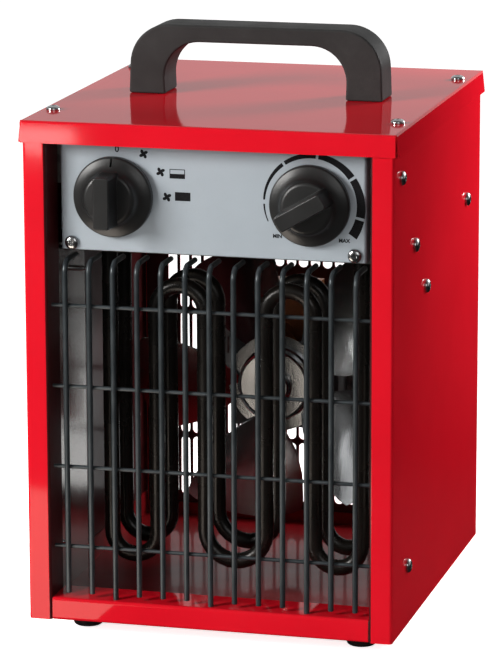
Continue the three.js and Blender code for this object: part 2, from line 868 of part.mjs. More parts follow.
function stator() {
  return cut(
    box([-stackHalf, stackHalf], [stackY, stackY + stackThickness], [-stackHalf, stackHeightAbove]),
    rod("y", rotorRadius + 0.6, [0, shaftEndY + 10], [0, 0], 28),
    box([-coilHalf - 2, coilHalf + 2], [0, shaftEndY + 10], [windowBottom, windowTop]),
    ...signs.map((sign) => rod("y", boltRadius + runGap, [0, shaftEndY + 10], [(sign * boltSpan) / 2, 0])),
  );
}

function coil() {
  const y = [stackY - runGap, stackY + stackThickness + runGap];
  const legZ = [windowTop - runGap, stackHeightAbove + runGap];
  const x = [-coilHalf, coilHalf];
  const outerZ = [windowBottom + runGap, legZ[1] + coilWall];
  return cut(box(x, [y[0] - coilWall / 2, y[1] + coilWall / 2], outerZ), box([-2 * coilHalf, 2 * coilHalf], y, legZ));
}

function rotor() {
  return turned(
    [
      [bearingBore, stackY + 0.5],
      [rotorRadius - 4, stackY + 0.5],
      [rotorRadius, stackY + 2],
      [rotorRadius, stackY + stackThickness - 2],
      [rotorRadius - 4, stackY + stackThickness - 0.5],
      [bearingBore, stackY + stackThickness - 0.5],
      [bearingBore, stackY + 0.5],
    ],
    28,
  );
}

function motorMount() {
  const middle = sheet / 2;
  const faceY = mountY + middle;
  const footY = innerBackY - seatGap - middle - (frontY + fanSetback);
  const section = folded([
    [-mountHalfWidth - mountFoot, footY],
    [-mountHalfWidth, footY],
    [-mountHalfWidth, faceY],
    [mountHalfWidth, faceY],
    [mountHalfWidth, footY],
    [mountHalfWidth + mountFoot, footY],
  ]);
  return cut(
    extrudeUp(section, [-mountHalfHeight, mountHalfHeight]),
    rod("y", bearingRadius + 1, [mountY - 1, mountY + 3], [0, 0], 20),
    ...signs.map((sign) => rod("y", boltRadius + runGap, [mountY - 1, mountY + 3], [(sign * boltSpan) / 2, 0])),
  );
}

function motorGroup() {
  const group = new THREE.Group();
  group.position.set(0, frontY + fanSetback, fanHeight);
  const boltSizes = { head: boltHead, height: 2.6, shank: boltRadius, length: mountY + sheet + 4 - bridgeFrontY };
  const bearingBack = bridgeBackY + bridgeSheet + bearingLength;
  group.add(
    mesh("fan", fan(), zinc),
    mesh("fan_nut", fanNut(), chrome),
    mesh("motor_shaft", rod("y", shaftRadius, [-bossHeight - nutHeight - 3, bearingBack], [0, 0], 16), chrome),
    mesh("motor_rotor", rotor(), lamination),
    mesh("motor_stator", stator(), lamination),
    mesh("motor_coil", coil(), copper),
    mesh("bearing_bridge_front", bearingBridge(bridgeFrontY, bridgeFrontY - bearingLength, stackY - 1, true), zinc),
    mesh("bearing_bridge_rear", bearingBridge(bridgeBackY, bridgeBackY, bearingBack, false), zinc),
    mesh("motor_mount", motorMount(), zinc),
    ...signs.map((sign) =>
      screw(`motor_bolt_${sideName(sign)}`, chrome, [(sign * boltSpan) / 2, bridgeFrontY, 0], [0, -1, 0], boltSizes),
    ),
  );
  return group;
}

// ---- Controls, about an axis that points out of the panel ----

function knob() {
  const bore = controlShaft + runGap;
  const body = turned(
    [
      [0, knobDomeHeight],
      [knobDome - 1, knobDomeHeight],
      [knobDome, knobDomeHeight - 1],
      [knobDome + 0.6, knobSkirt + 2.5],
      [knobRadius - 0.8, knobSkirt],
      [knobRadius, knobSkirt - 1],
      [knobRadius, knobLift],
      [bore, knobLift],
      [bore, boreDepth],
      [0, boreDepth],
    ],
    36,
  ).rotateX(Math.PI / 2);
  const wide = gripWidth / 2;
  const grip = extrudeBack(
    shapeOf([
      [-wide - gripTaper, knobSkirt + 4.2],
      [wide + gripTaper, knobSkirt + 4.2],
      [wide, knobReach - 0.6],
      [wide - 0.6, knobReach],
      [-wide + 0.6, knobReach],
      [-wide, knobReach - 0.6],
    ]),
    [-gripLength / 2, gripLength / 2],
  );
  const notch = box([-0.6, 0.6], [knobRadius - 5, knobRadius + 1], [knobSkirt - 1, knobSkirt + 4]);
  return cut(join(body, grip), notch);
}

const controlShaftGeometry = (rear) => rod("z", controlShaft, [rear, boreDepth - runGap], [0, 0], 16);

function tags(depth, places) {
  const [width, length, thick] = tagSize;
  return places.map(([x, y]) =>
    box([x - width / 2, x + width / 2], [y - thick / 2, y + thick / 2], [-depth - length, -depth + 1]),
  );
}

function controlBody(outer, depth, places) {
  return cut(
    join(outer, ...tags(sheet + depth, places)),
    rod("z", controlShaft + runGap, [-sheet - depth + boreFloor, 2], [0, 0], 16),
  );
}

function control(name, sign, outer, depth, places, turn) {
  const group = new THREE.Group();
  group.position.set((sign * knobSpan) / 2, panelY, knobHeight);
  group.rotation.x = Math.PI / 2;
  const moving = new THREE.Group();
  moving.rotation.z = THREE.MathUtils.degToRad(turn);
  moving.add(
    mesh(`${name}_knob`, knob(), blackPlastic),
    mesh(`${name}_shaft`, controlShaftGeometry(-sheet - depth + boreFloor + runGap), chrome),
  );
  group.add(moving, mesh(`${name}_body`, controlBody(outer, depth, places), palePlastic));
  return group;
}

function controls() {
  const back = -sheet - runGap;
  const half = switchSize / 2;
  const switchBox = box([-half, half], [-half, half], [-sheet - switchDepth, back]);
  const thermostatBox = rod("z", thermostatRadius, [-sheet - thermostatDepth, back], [0, 0], 24);
  const four = [[-8, -6], [8, -6], [-8, 6], [8, 6]];
  const two = [[-8, 0], [8, 0]];
  return [
    control("selector", -1, switchBox, switchDepth, four, 0),
    control("thermostat", 1, thermostatBox, thermostatDepth, two, thermostatTurn),
  ];
}

// ---- Handle ----

const legX = handleWidth / 2 - handleLeg / 2;

function handle() {
  const half = handleWidth / 2;
  const inner = half - handleLeg;
  const shape = new THREE.Shape();
  const edge = handleEdge;
  shape.moveTo(-half - handleFlare, 0);
  shape.lineTo(-half, handleRise - handleOuter);
  shape.absarc(-half + handleOuter, handleRise - handleOuter, handleOuter, Math.PI, Math.PI / 2, true);
  shape.lineTo(half - handleOuter, handleRise);
  shape.absarc(half - handleOuter, handleRise - handleOuter, handleOuter, Math.PI / 2, 0, true);
  shape.lineTo(half + handleFlare, 0);
  shape.lineTo(inner - handleFlare, 0);
  const underside = handleRise - handleGrip;
  shape.lineTo(inner, underside - handleInner);
  shape.absarc(inner - handleInner, underside - handleInner, handleInner, 0, Math.PI / 2, false);
  shape.lineTo(-inner + handleInner, underside);
  shape.absarc(-inner + handleInner, underside - handleInner, handleInner, Math.PI / 2, Math.PI, false);
  shape.lineTo(-inner + handleFlare, 0);
  shape.closePath();
  const bevel = {
    depth: handleDepth - 2 * edge,
    bevelEnabled: true,
    bevelThickness: edge,
    bevelSize: edge,
    bevelOffset: -edge,
    bevelSegments: 1,
    curveSegments: 7,
  };
  const arch = new THREE.ExtrudeGeometry(shape, bevel)
    .rotateX(Math.PI / 2)
    .translate(0, handleDepth / 2 - edge, 0);
  return cut(
    arch,
    ...signs.map((sign) => rod("z", handleScrewRadius + runGap, [-1, handleScrewBite + 3], [sign * legX, 0])),
  );
}

// ---- Small inner pieces ----

function cutout() {
  const [width, length, thick] = tagSize;
  const top = cutoutHeight;
  return join(
    rod("z", cutoutRadius, [0, top], [0, 0], 20),
    ...signs.map((sign) =>
      box([sign * 4 - thick / 2, sign * 4 + thick / 2], [-width / 2, width / 2], [top - 1, top + length]),
    ),
  );
}

function terminalBlock() {
  const [length, width, height] = blockSize;
  const pitch = length / blockWays;
  const wells = [];
  for (let way = 0; way < blockWays; way++) {
    const x = -length / 2 + pitch * (way + 0.5);
    wells.push(rod("z", 2.6, [height - 4, height + 1], [x, 0], 12));
    wells.push(rod("y", 2, [-width / 2 - 1, -width / 2 + 6], [x, height / 2], 10));
  }
  return cut(box([-length / 2, length / 2], [-width / 2, width / 2], [0, height]), ...wells);
}

function gland() {
  const wall = sheet + seatGap;
  return turned(
    [
      [glandBore, -glandInside],
      [glandThread, -glandInside],
      [glandThread, seatGap],
      [glandFlange, seatGap],
      [glandFlange, 3],
      [glandBody, 3.6],
      [glandBody - 1, glandReach],
      [glandBore, glandReach],
      [glandBore, -wall],
      [glandBore, -glandInside],
    ],
    24,
  );
}

function glandNut() {
  const top = -sheet - seatGap;
  return cut(
    rod("y", glandFlange + 1, [top - 5, top], [0, 0], 6),
    rod("y", glandThread + runGap, [-2 * glandInside, 2], [0, 0], 24),
  );
}

// ---- Assembly ----

const body = new THREE.Group();
body.position.z = footHeight;

body.add(
  mesh("case_wrap", caseWrap(), paint),
  mesh("base_pan", basePan(), paint),
  mesh("lid", lid(), paint),
  mesh("control_panel", controlPanel(), greyPanel),
  mesh("divider_shelf", shelf(), zinc),
  mesh("guard", guard(), coatedWire),
  mesh("heating_element_front", heatingElement(0), elementSteel),
  mesh("heating_element_rear", heatingElement(1), elementSteel),
  motorGroup(),
  ...controls(),
);

for (const sign of signs) {
  const side = sideName(sign);
  body.add(
    mesh(`heat_shield_${side}`, heatShield(sign), zinc),
    mesh(`panel_bracket_${side}`, panelBracket(sign), zinc),
  );
  body.add(
    screw(
      `panel_screw_${side}`,
      chrome,
      [(sign * panelScrewSpan) / 2, panelY, panelBottom + panelScrewRise],
      [0, -1, 0],
    ),
  );
  screwsInSide.forEach(([y, z], i) => {
    body.add(screw(`side_screw_${side}_${i + 1}`, chrome, [sign * sideX, y, z], [sign, 0, 0]));
  });
}

const lidTop = caseHeight + seatGap + sheet;
lidScrewPlaces().forEach(([x, y], i) => {
  body.add(screw(`lid_screw_${i + 1}`, chrome, [x, y, lidTop], [0, 0, 1]));
});

feetPlaces.forEach(([x, y], i) => {
  body.add(mesh(`foot_${i + 1}`, foot(), rubber, [x, y, -footHeight]));
  const seat = [x, y, -footWeb];
  body.add(screw(`foot_screw_${i + 1}`, chrome, seat, [0, 0, -1], footScrew));
});

body.add(mesh("handle", handle(), blackPlastic, [0, 0, lidTop + seatGap]));
for (const sign of signs) {
  const sizes = { head: 3.8, height: 2.4, shank: handleScrewRadius, length: handleScrewBite + sheet };
  const seat = [sign * legX, 0, caseHeight + seatGap];
  body.add(screw(`handle_screw_${sideName(sign)}`, chrome, seat, [0, 0, -1], sizes));
}

const glandGroup = new THREE.Group();
glandGroup.position.set(glandOffset, backY, glandHeight);
glandGroup.add(mesh("cord_gland", gland(), blackPlastic), mesh("gland_nut", glandNut(), blackPlastic));
body.add(glandGroup);

const deck = shelfTop + seatGap;
body.add(
  mesh("thermal_cutout", cutout(), blackPlastic, [...cutoutPlace, deck]),
  mesh("terminal_block", terminalBlock(), palePlastic, [...blockPlace, deck]),
);

const root = new THREE.Group();
root.add(body);

export default root;
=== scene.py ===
import json
import math
import random

import bmesh
import bpy
from mathutils import Matrix, Vector

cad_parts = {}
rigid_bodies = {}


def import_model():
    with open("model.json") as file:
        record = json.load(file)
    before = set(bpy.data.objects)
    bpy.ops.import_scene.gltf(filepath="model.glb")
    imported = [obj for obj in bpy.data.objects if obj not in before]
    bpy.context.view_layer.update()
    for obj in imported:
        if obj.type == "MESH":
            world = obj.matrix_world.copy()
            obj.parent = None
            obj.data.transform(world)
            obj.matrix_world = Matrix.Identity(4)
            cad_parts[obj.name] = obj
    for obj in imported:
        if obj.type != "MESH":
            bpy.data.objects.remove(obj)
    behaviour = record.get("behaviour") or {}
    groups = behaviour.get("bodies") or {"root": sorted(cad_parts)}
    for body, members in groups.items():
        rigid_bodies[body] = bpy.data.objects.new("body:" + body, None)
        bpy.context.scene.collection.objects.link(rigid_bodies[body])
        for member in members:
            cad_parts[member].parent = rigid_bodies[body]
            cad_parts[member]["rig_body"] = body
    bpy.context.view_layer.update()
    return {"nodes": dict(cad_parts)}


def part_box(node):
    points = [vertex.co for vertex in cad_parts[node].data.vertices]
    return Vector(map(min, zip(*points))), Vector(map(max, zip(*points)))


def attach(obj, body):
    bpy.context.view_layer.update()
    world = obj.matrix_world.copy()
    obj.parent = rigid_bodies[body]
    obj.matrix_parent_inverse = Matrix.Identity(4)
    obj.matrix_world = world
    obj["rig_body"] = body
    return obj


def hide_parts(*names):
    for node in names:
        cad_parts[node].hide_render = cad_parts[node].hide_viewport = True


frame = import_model()
random.seed(7)
rad = math.radians


# working helpers

def objectMode():
    bpy.ops.object.mode_set(mode="OBJECT")


def deselect():
    if bpy.context.object and bpy.context.object.mode != "OBJECT":
        objectMode()
    bpy.ops.object.select_all(action="DESELECT")


def take(piece):
    deselect()
    piece.select_set(True)
    bpy.context.view_layer.objects.active = piece


def named(name):
    piece = bpy.context.object
    piece.name = name
    piece.data.name = name
    return piece


def settle(piece, matrix=None):  # bakes the object's place into its mesh
    take(piece)
    if matrix is not None:
        piece.matrix_world = matrix
    bpy.ops.object.transform_apply(location=True, rotation=True, scale=True)
    return piece


def sized(piece, scale):
    piece.scale = scale
    return settle(piece)


def cube(name, low, high):
    deselect()
    low, high = Vector(low), Vector(high)
    bpy.ops.mesh.primitive_cube_add(size=1, location=(low + high) / 2)
    return sized(named(name), high - low)


def plane(name, size=1, place=(0, 0, 0)):
    deselect()
    bpy.ops.mesh.primitive_plane_add(size=size, location=place)
    return named(name)


def rod(name, sides, radius, length, place=(0, 0, 0), turn=(0, 0, 0)):
    deselect()
    bpy.ops.mesh.primitive_cylinder_add(
        vertices=sides, radius=radius, depth=length, location=place, rotation=turn
    )
    return settle(named(name))


def finishWith(piece, kind, **values):
    take(piece)
    modifier = piece.modifiers.new(kind.title(), kind)
    for key, value in values.items():
        setattr(modifier, key, value)
    bpy.ops.object.modifier_apply(modifier=modifier.name)
    return piece


def repeated(piece, count, step):
    return finishWith(
        piece, "ARRAY", count=count, use_relative_offset=False,
        use_constant_offset=True, constant_offset_displace=step,
    )


def sheeted(piece, thickness):
    return finishWith(piece, "SOLIDIFY", thickness=thickness, offset=0, use_even_offset=True)


def carve(piece, cutter, operation="DIFFERENCE"):
    finishWith(piece, "BOOLEAN", operation=operation, object=cutter, solver="EXACT")
    bpy.data.objects.remove(cutter)
    return piece


def roundEdges(piece, width, segments=2, angle=40):
    return finishWith(
        piece, "BEVEL", width=width, segments=segments,
        limit_method="ANGLE", angle_limit=rad(angle),
    )


def edit(piece, mode):
    take(piece)
    bpy.ops.object.mode_set(mode="EDIT")
    bpy.ops.mesh.select_mode(type=mode)
    bpy.ops.mesh.select_all(action="DESELECT")


def pull(way, edges=False):  # extrudes what is selected
    extrude = bpy.ops.mesh.extrude_edges_move if edges else bpy.ops.mesh.extrude_region_move
    extrude(TRANSFORM_OT_translate={"value": way})


def pick(piece, kind, test):  # selects the verts, edges or faces that pass
    mesh = bmesh.from_edit_mesh(piece.data)
    for item in getattr(mesh, kind):
        item.select_set(test(item))
    if kind == "verts":
        mesh.select_flush(True)
    bmesh.update_edit_mesh(piece.data)


def editAt(piece, kind, test):
    edit(piece, {"verts": "VERT", "edges": "EDGE", "faces": "FACE"}[kind])
    pick(piece, kind, test)


def taper(piece, level, scale, centre):  # scales what lies below the level
    editAt(piece, "verts", lambda v: v.co.z < level)
    bpy.ops.transform.resize(value=scale, center_override=centre)
    objectMode()


def bevelAt(piece, test, width, segments):
    editAt(piece, "edges", test)
    bpy.ops.mesh.bevel(offset=width, segments=segments, affect="EDGES")
    objectMode()


def middle(item):
    return sum((v.co for v in item.verts), Vector()) / len(item.verts)


def near(a, b):
    return abs(a - b) < 2e-5


def outward(piece):
    edit(piece, "FACE")
    bpy.ops.mesh.select_all(action="SELECT")
    bpy.ops.mesh.remove_doubles(threshold=1e-6)
    bpy.ops.mesh.normals_make_consistent(inside=False)
    objectMode()
    return piece


def smooth(piece, angle=32):
    take(piece)
    bpy.ops.object.shade_smooth_by_angle(angle=rad(angle))
    return finishWith(piece, "WEIGHTED_NORMAL", keep_sharp=True, weight=100)


def copyOf(piece, name, matrix):
    twin = piece.copy()
    twin.data = piece.data.copy()
    twin.name = name
    twin.data.name = name
    bpy.context.scene.collection.objects.link(twin)
    return settle(twin, matrix)


def quarterRound(radius, height, bend, steps, first=1):
    # the points of a rounded rim, from the side of a turned piece to its top
    angles = [math.pi / 2 * step / steps for step in range(first, steps + 1)]
    return [
        (radius - bend + bend * math.cos(a), height - bend + bend * math.sin(a)) for a in angles
    ]


def joined(name, pieces):
    take(pieces[0])
    for piece in pieces:
        piece.select_set(True)
    bpy.ops.object.join()
    return named(name)


def turnedZ(name, profile, sides=48):
    # grows ring by ring along its axis: a filled circle, extruded and scaled
    (firstRadius, firstHeight), *rest = profile
    deselect()
    bpy.ops.mesh.primitive_circle_add(
        vertices=sides, radius=firstRadius, fill_type="NGON", location=(0, 0, firstHeight)
    )
    piece = settle(named(name))
    edit(piece, "FACE")
    bpy.ops.mesh.select_all(action="SELECT")
    radius, height = firstRadius, firstHeight
    for nextRadius, nextHeight in rest:
        pull((0, 0, nextHeight - height))
        share = nextRadius / radius
        bpy.ops.transform.resize(value=(share, share, 1), center_override=(0, 0, nextHeight))
        radius, height = nextRadius, nextHeight
    objectMode()
    return outward(piece)


axisTurns = {
    "+z": (0, "X"), "-z": (180, "X"), "-y": (90, "X"),
    "+y": (-90, "X"), "+x": (90, "Y"), "-x": (-90, "Y"),
}


def turned(angle, axis="Z"):
    return Matrix.Rotation(rad(angle), 4, axis)


def placed(at, axis="+z", turn=0):  # stands a piece made along Z at its place, facing the axis
    return Matrix.Translation(at) @ turned(*axisTurns[axis]) @ turned(turn)


def folded(name, corners, axis, span, sheet, bend):
    # a sheet folded along the corners of its middle line, from a plane and extruded edges
    order = {"x": (1, 2, 0), "z": (0, 1, 2)}[axis]

    def point(corner, along):
        out = [0, 0, 0]
        for slot, value in zip(order, (*corner, along)):
            out[slot] = value
        return Vector(out)

    first, second = (point(c, sum(span) / 2) for c in corners[:2])
    across = point((0, 0), span[1] - span[0])
    along = second - first
    frameOf = Matrix((along, across, along.cross(across).normalized())).transposed().to_4x4()
    piece = settle(plane(name), Matrix.Translation((first + second) / 2) @ frameOf)
    edit(piece, "EDGE")
    for here, there in zip(corners[1:], corners[2:]):
        start = point(here, sum(span) / 2)
        pick(piece, "edges", lambda e: (middle(e) - start).length < 1e-5)
        pull(point(there, 0) - point(here, 0), edges=True)
    pick(piece, "edges", lambda e: len(e.link_faces) == 2)
    bpy.ops.mesh.bevel(offset=bend, segments=5, affect="EDGES")
    objectMode()
    outward(piece)
    return sheeted(piece, sheet)


# shared effects

def groupOf(name, inputs, outputs):  # a vector socket where a value has three parts
    tree = bpy.data.node_groups.new(name, "ShaderNodeTree")
    for label, value in inputs.items():
        kind = "NodeSocketVector" if isinstance(value, tuple) else "NodeSocketFloat"
        tree.interface.new_socket(label, in_out="INPUT", socket_type=kind).default_value = value
    for label in outputs:
        tree.interface.new_socket(label, in_out="OUTPUT", socket_type="NodeSocketFloat")
    return tree, tree.nodes.new("NodeGroupInput").outputs, tree.nodes.new("NodeGroupOutput").inputs


def feed(tree, sockets, values):  # links what is a socket, and sets plain values
    for key, value in values.items():
        if isinstance(value, bpy.types.NodeSocket):
            tree.links.new(value, sockets[key])
        else:
            sockets[key].default_value = value


def node(tree, kind, inputs=None, **settings):
    made = tree.nodes.new("ShaderNode" + kind)
    for key, value in settings.items():
        setattr(made, key, value)
    feed(tree, made.inputs, inputs or {})
    return made


def reckon(tree, operation, *values):
    return node(tree, "Math", dict(enumerate(values)), operation=operation).outputs[0]


def noise(tree, at, scale, detail, roughness=0.5):
    return node(
        tree, "TexNoise", {"Vector": at, "Scale": scale, "Detail": detail, "Roughness": roughness}
    ).outputs


def mixed(tree, share, first, second):
    return node(tree, "Mix", {0: share, 6: first, 7: second}, data_type="RGBA").outputs[2]


def placeOf(tree):
    return node(tree, "TexCoord").outputs["Object"]


def buildGroups():
    # fine even grain of a moulded or sprayed skin, and a slow drift over it
    tree, given, out = groupOf(
        "skinGrain", {"Scale": 900.0, "Drift Scale": 18.0}, ["Height", "Drift"]
    )
    place = placeOf(tree)
    tree.links.new(noise(tree, place, given["Scale"], 3.0)["Fac"], out["Height"])
    tree.links.new(noise(tree, place, given["Drift Scale"], 4.0)["Fac"], out["Drift"])

    # long streaks of rolled or brushed metal, stretched along one axis
    tree, given, out = groupOf(
        "rolledStreaks", {"Stretch": (300.0, 300.0, 8.0), "Scratches": 0.5}, ["Height", "Mask"]
    )
    stretch = node(
        tree, "VectorMath", {0: placeOf(tree), 1: given["Stretch"]}, operation="MULTIPLY"
    ).outputs[0]
    lines = noise(tree, stretch, 1.0, 5.0, 0.65)["Fac"]
    tree.links.new(reckon(tree, "MULTIPLY", lines, given["Scratches"]), out["Height"])
    tree.links.new(noise(tree, stretch, 0.22, 3.0)["Fac"], out["Mask"])

    # crystals of a hot-dipped zinc skin: each cell catches the light its own way
    tree, given, out = groupOf("zincSpangle", {"Scale": 140.0}, ["Cell", "Height"])
    place = placeOf(tree)
    wander = noise(tree, place, 60.0, 3.0)["Color"]
    bent = node(tree, "VectorMath", {0: wander, "Scale": 0.006}, operation="SCALE").outputs[0]
    moved = node(tree, "VectorMath", {0: place, 1: bent}, operation="ADD").outputs[0]
    cells = node(tree, "TexVoronoi", {"Vector": moved, "Scale": given["Scale"]}).outputs
    split = node(tree, "SeparateColor", {"Color": cells["Color"]}).outputs
    tree.links.new(split["Red"], out["Cell"])
    tree.links.new(cells["Distance"], out["Height"])

    # settled dust, as a mask of specks within clouds
    tree, given, out = groupOf("dustMask", {"Scale": 260.0, "Amount": 0.35}, ["Mask"])
    place = placeOf(tree)
    specks = noise(tree, place, given["Scale"], 6.0, 0.7)["Fac"]
    clouds = noise(tree, place, 9.0, 3.0)["Fac"]
    both = reckon(tree, "MULTIPLY", specks, clouds)
    raised = node(tree, "MapRange", {"Value": both, "From Min": 0.24, "From Max": 0.46}).outputs[0]
    tree.links.new(reckon(tree, "MULTIPLY", raised, given["Amount"]), out["Mask"])

    # edges lighter where a rounded normal leaves the true one: rub wear and a painted edge
    # highlight
    tree, given, out = groupOf("edgeWearAndHighlight", {"Width": 0.0008}, ["Mask"])
    around = node(tree, "Bevel", {"Radius": given["Width"]}, samples=4).outputs[0]
    true = node(tree, "NewGeometry").outputs["Normal"]
    along = node(tree, "VectorMath", {0: around, 1: true}, operation="DOT_PRODUCT").outputs
    edgeMask = node(tree, "MapRange", {"Value": along["Value"], "From Min": 1.0, "From Max": 0.86})
    tree.links.new(edgeMask.outputs[0], out["Mask"])


buildGroups()


def groupIn(tree, name, **inputs):
    made = tree.nodes.new("ShaderNodeGroup")
    made.node_tree = bpy.data.node_groups[name]
    for key, value in inputs.items():
        made.inputs[key.replace("_", " ")].default_value = value
    return made.outputs


def finish(name, colour, roughness, normal, **plain):
    # colour, roughness and normal are functions that build in the tree and give a socket
    material = bpy.data.materials.new(name)
    material.use_nodes = True
    tree = material.node_tree
    varying = {"Base Color": colour(tree), "Roughness": roughness(tree), "Normal": normal(tree)}
    feed(tree, tree.nodes["Principled BSDF"].inputs, {**varying, **plain})
    return material


def spread(tree, source, low, high):  # a noise's middle range, from low to high
    ends = {"From Min": 0.3, "From Max": 0.7, "To Min": low, "To Max": high}
    return node(tree, "MapRange", {"Value": source, **ends}).outputs["Result"]


def twoTone(first, second, group, output, **inputs):
    def make(tree):
        source = groupIn(tree, group, **inputs)[output]
        return mixed(tree, spread(tree, source, 0.0, 1.0), (*first, 1), (*second, 1))
    return make


def varied(low, high, group, output, **inputs):
    return lambda tree: spread(tree, groupIn(tree, group, **inputs)[output], low, high)


def grained(group, output, distance, **inputs):
    def make(tree):
        height = groupIn(tree, group, **inputs)[output]
        return node(tree, "Bump", {"Height": height, "Distance": distance}).outputs[0]
    return make


def dusted(base, dustColour, amount, scale=260.0):
    def make(tree):
        mask = groupIn(tree, "dustMask", Scale=scale, Amount=amount)["Mask"]
        return mixed(tree, mask, base(tree), (*dustColour, 1))
    return make


# mixes a lighter colour in along rounded edges: rub wear and a painted edge highlight
def edgeLightened(base, edgeLightColour, width, share):
    def make(tree):
        mask = groupIn(tree, "edgeWearAndHighlight", Width=width)["Mask"]
        return mixed(tree, reckon(tree, "MULTIPLY", mask, share), base(tree), (*edgeLightColour, 1))
    return make


def grey(value):
    return value, value, value


def driftTone(first, second, scale):
    return twoTone(first, second, "skinGrain", "Drift", Drift_Scale=scale)


def driftGloss(low, high, scale):
    return varied(low, high, "skinGrain", "Drift", Drift_Scale=scale)


def fineGrain(distance, scale):
    return grained("skinGrain", "Height", distance, Scale=scale)


def streakTone(first, second, stretch):
    return twoTone(first, second, "rolledStreaks", "Mask", Stretch=stretch)


def streakGloss(low, high, stretch):
    return varied(low, high, "rolledStreaks", "Mask", Stretch=stretch)


def streakGrain(distance, stretch):
    return grained("rolledStreaks", "Height", distance, Stretch=stretch)


def redCoat(name, colour, gloss, coat, coatRoughness, specular):
    return finish(
        name, colour, driftGloss(*gloss, 40.0), fineGrain(0.00002, 420.0),
        **{"Coat Weight": coat, "Coat Roughness": coatRoughness, "Specular IOR Level": specular},
    )


redPaint = redCoat(
    "glossRedPaint",
    edgeLightened(
        dusted(
            driftTone((0.70, 0.006, 0.017), (0.78, 0.008, 0.021), 14.0),
            (0.45, 0.12, 0.12), 0.02,
        ),
        # a lighter red along the folds: painted edge highlight
        (0.80, 0.02, 0.02), 0.0006, 0.5,
    ),
    (0.26, 0.34), 0.7, 0.07, 0.0,
)
# darker red for the inner faces of the case: painted shade, where little light reaches inside
paintedShadeInner = redCoat(
    "paintedShadeInnerRed",
    dusted(driftTone((0.05, 0.007, 0.008), (0.08, 0.009, 0.011), 14.0), (0.07, 0.04, 0.035), 0.1),
    (0.34, 0.46), 0.25, 0.12, 0.1,
)
# darker red for the floor behind the lip: painted shade inside the case
paintedShadeTray = redCoat(
    "shadedTrayPaint",
    dusted(driftTone((0.24, 0.007, 0.010), (0.32, 0.009, 0.014), 14.0), (0.10, 0.05, 0.045), 0.15),
    (0.30, 0.42), 0.35, 0.08, 0.05,
)
greyPaint = finish(
    "satinGreyPaint",
    dusted(driftTone((0.39, 0.44, 0.485), (0.445, 0.495, 0.54), 11.0), (0.34, 0.34, 0.33), 0.12),
    driftGloss(0.36, 0.46, 30.0),
    fineGrain(0.00002, 700.0),
    Metallic=0.15, **{"Specular IOR Level": 0.4},
)
printInk = finish(
    "printInk",
    twoTone((0.005, 0.005, 0.006), (0.011, 0.011, 0.013), "skinGrain", "Height", Scale=1500.0),
    varied(0.45, 0.6, "skinGrain", "Height", Scale=900.0),
    fineGrain(0.00001, 1500.0),
    **{"Specular IOR Level": 0.1},
)
blackPlastic = finish(
    "mouldedBlackPlastic",
    edgeLightened(
        dusted(driftTone(grey(0.034), grey(0.052), 35.0), (0.16, 0.15, 0.14), 0.06),
        # lighter grey along the edges: rub wear and a painted edge highlight
        grey(0.085), 0.0009, 0.8,
    ),
    driftGloss(0.40, 0.54, 60.0),
    fineGrain(0.00006, 1900.0),
    **{"Specular IOR Level": 0.03},
)
knobPlastic = finish(
    "polishedBlackMoulding",
    # lighter along the edges: rub wear and a painted edge highlight
    edgeLightened(driftTone(grey(0.012), grey(0.020), 35.0), grey(0.06), 0.0007, 0.8),
    driftGloss(0.28, 0.38, 60.0),
    fineGrain(0.00004, 1900.0),
    **{"Specular IOR Level": 0.45},
)
rubber = finish(
    "footRubber",
    dusted(driftTone(grey(0.012), grey(0.024), 70.0), (0.14, 0.13, 0.12), 0.35),
    driftGloss(0.72, 0.9, 90.0),
    fineGrain(0.0001, 800.0),
)
chromePlate = finish(
    "chromePlate",
    driftTone((0.36, 0.365, 0.37), (0.52, 0.525, 0.53), 300.0),
    driftGloss(0.12, 0.26, 500.0),
    fineGrain(0.00002, 2500.0),
    Metallic=1.0,
)
zincSkin = finish(
    "galvanisedSteel",
    dusted(
        twoTone((0.30, 0.295, 0.285), (0.40, 0.395, 0.38), "zincSpangle", "Cell", Scale=320.0),
        (0.16, 0.14, 0.12), 0.3,
    ),
    varied(0.28, 0.40, "zincSpangle", "Cell", Scale=320.0),
    grained("zincSpangle", "Height", 0.00002, Scale=320.0),
    Metallic=1.0,
)
shieldMetal = finish(
    "polishedShieldSteel",
    dusted(
        streakTone((0.42, 0.415, 0.40), (0.60, 0.59, 0.575), (160.0, 160.0, 3.0)),
        (0.16, 0.14, 0.12), 0.15,
    ),
    streakGloss(0.16, 0.26, (160.0, 160.0, 3.0)),
    streakGrain(0.00003, (700.0, 700.0, 10.0)),
    Metallic=1.0,
)
fanMetal = finish(
    "brightRolledSheet",
    dusted(
        streakTone((0.38, 0.39, 0.40), (0.56, 0.57, 0.58), (260.0, 30.0, 9.0)),
        (0.30, 0.27, 0.24), 0.25,
    ),
    streakGloss(0.14, 0.26, (260.0, 30.0, 9.0)),
    streakGrain(0.00004, (900.0, 120.0, 30.0)),
    Metallic=1.0,
)
wireCoat = finish(
    "darkCoatedWire",
    edgeLightened(
        driftTone((0.030, 0.038, 0.043), (0.052, 0.062, 0.068), 60.0),
        # lighter along the edges: rub wear and a painted edge highlight
        (0.12, 0.13, 0.14), 0.0004, 0.4,
    ),
    driftGloss(0.28, 0.42, 120.0),
    fineGrain(0.00004, 900.0),
    Metallic=0.35,
)
elementSkin = finish(
    "heatDarkenedTube",
    dusted(
        driftTone((0.006, 0.0055, 0.005), (0.015, 0.012, 0.010), 26.0),
        (0.05, 0.04, 0.03), 0.1, 120.0,
    ),
    driftGloss(0.20, 0.34, 50.0),
    fineGrain(0.00004, 700.0),
    Metallic=0.2, **{"Specular IOR Level": 0.4},
)
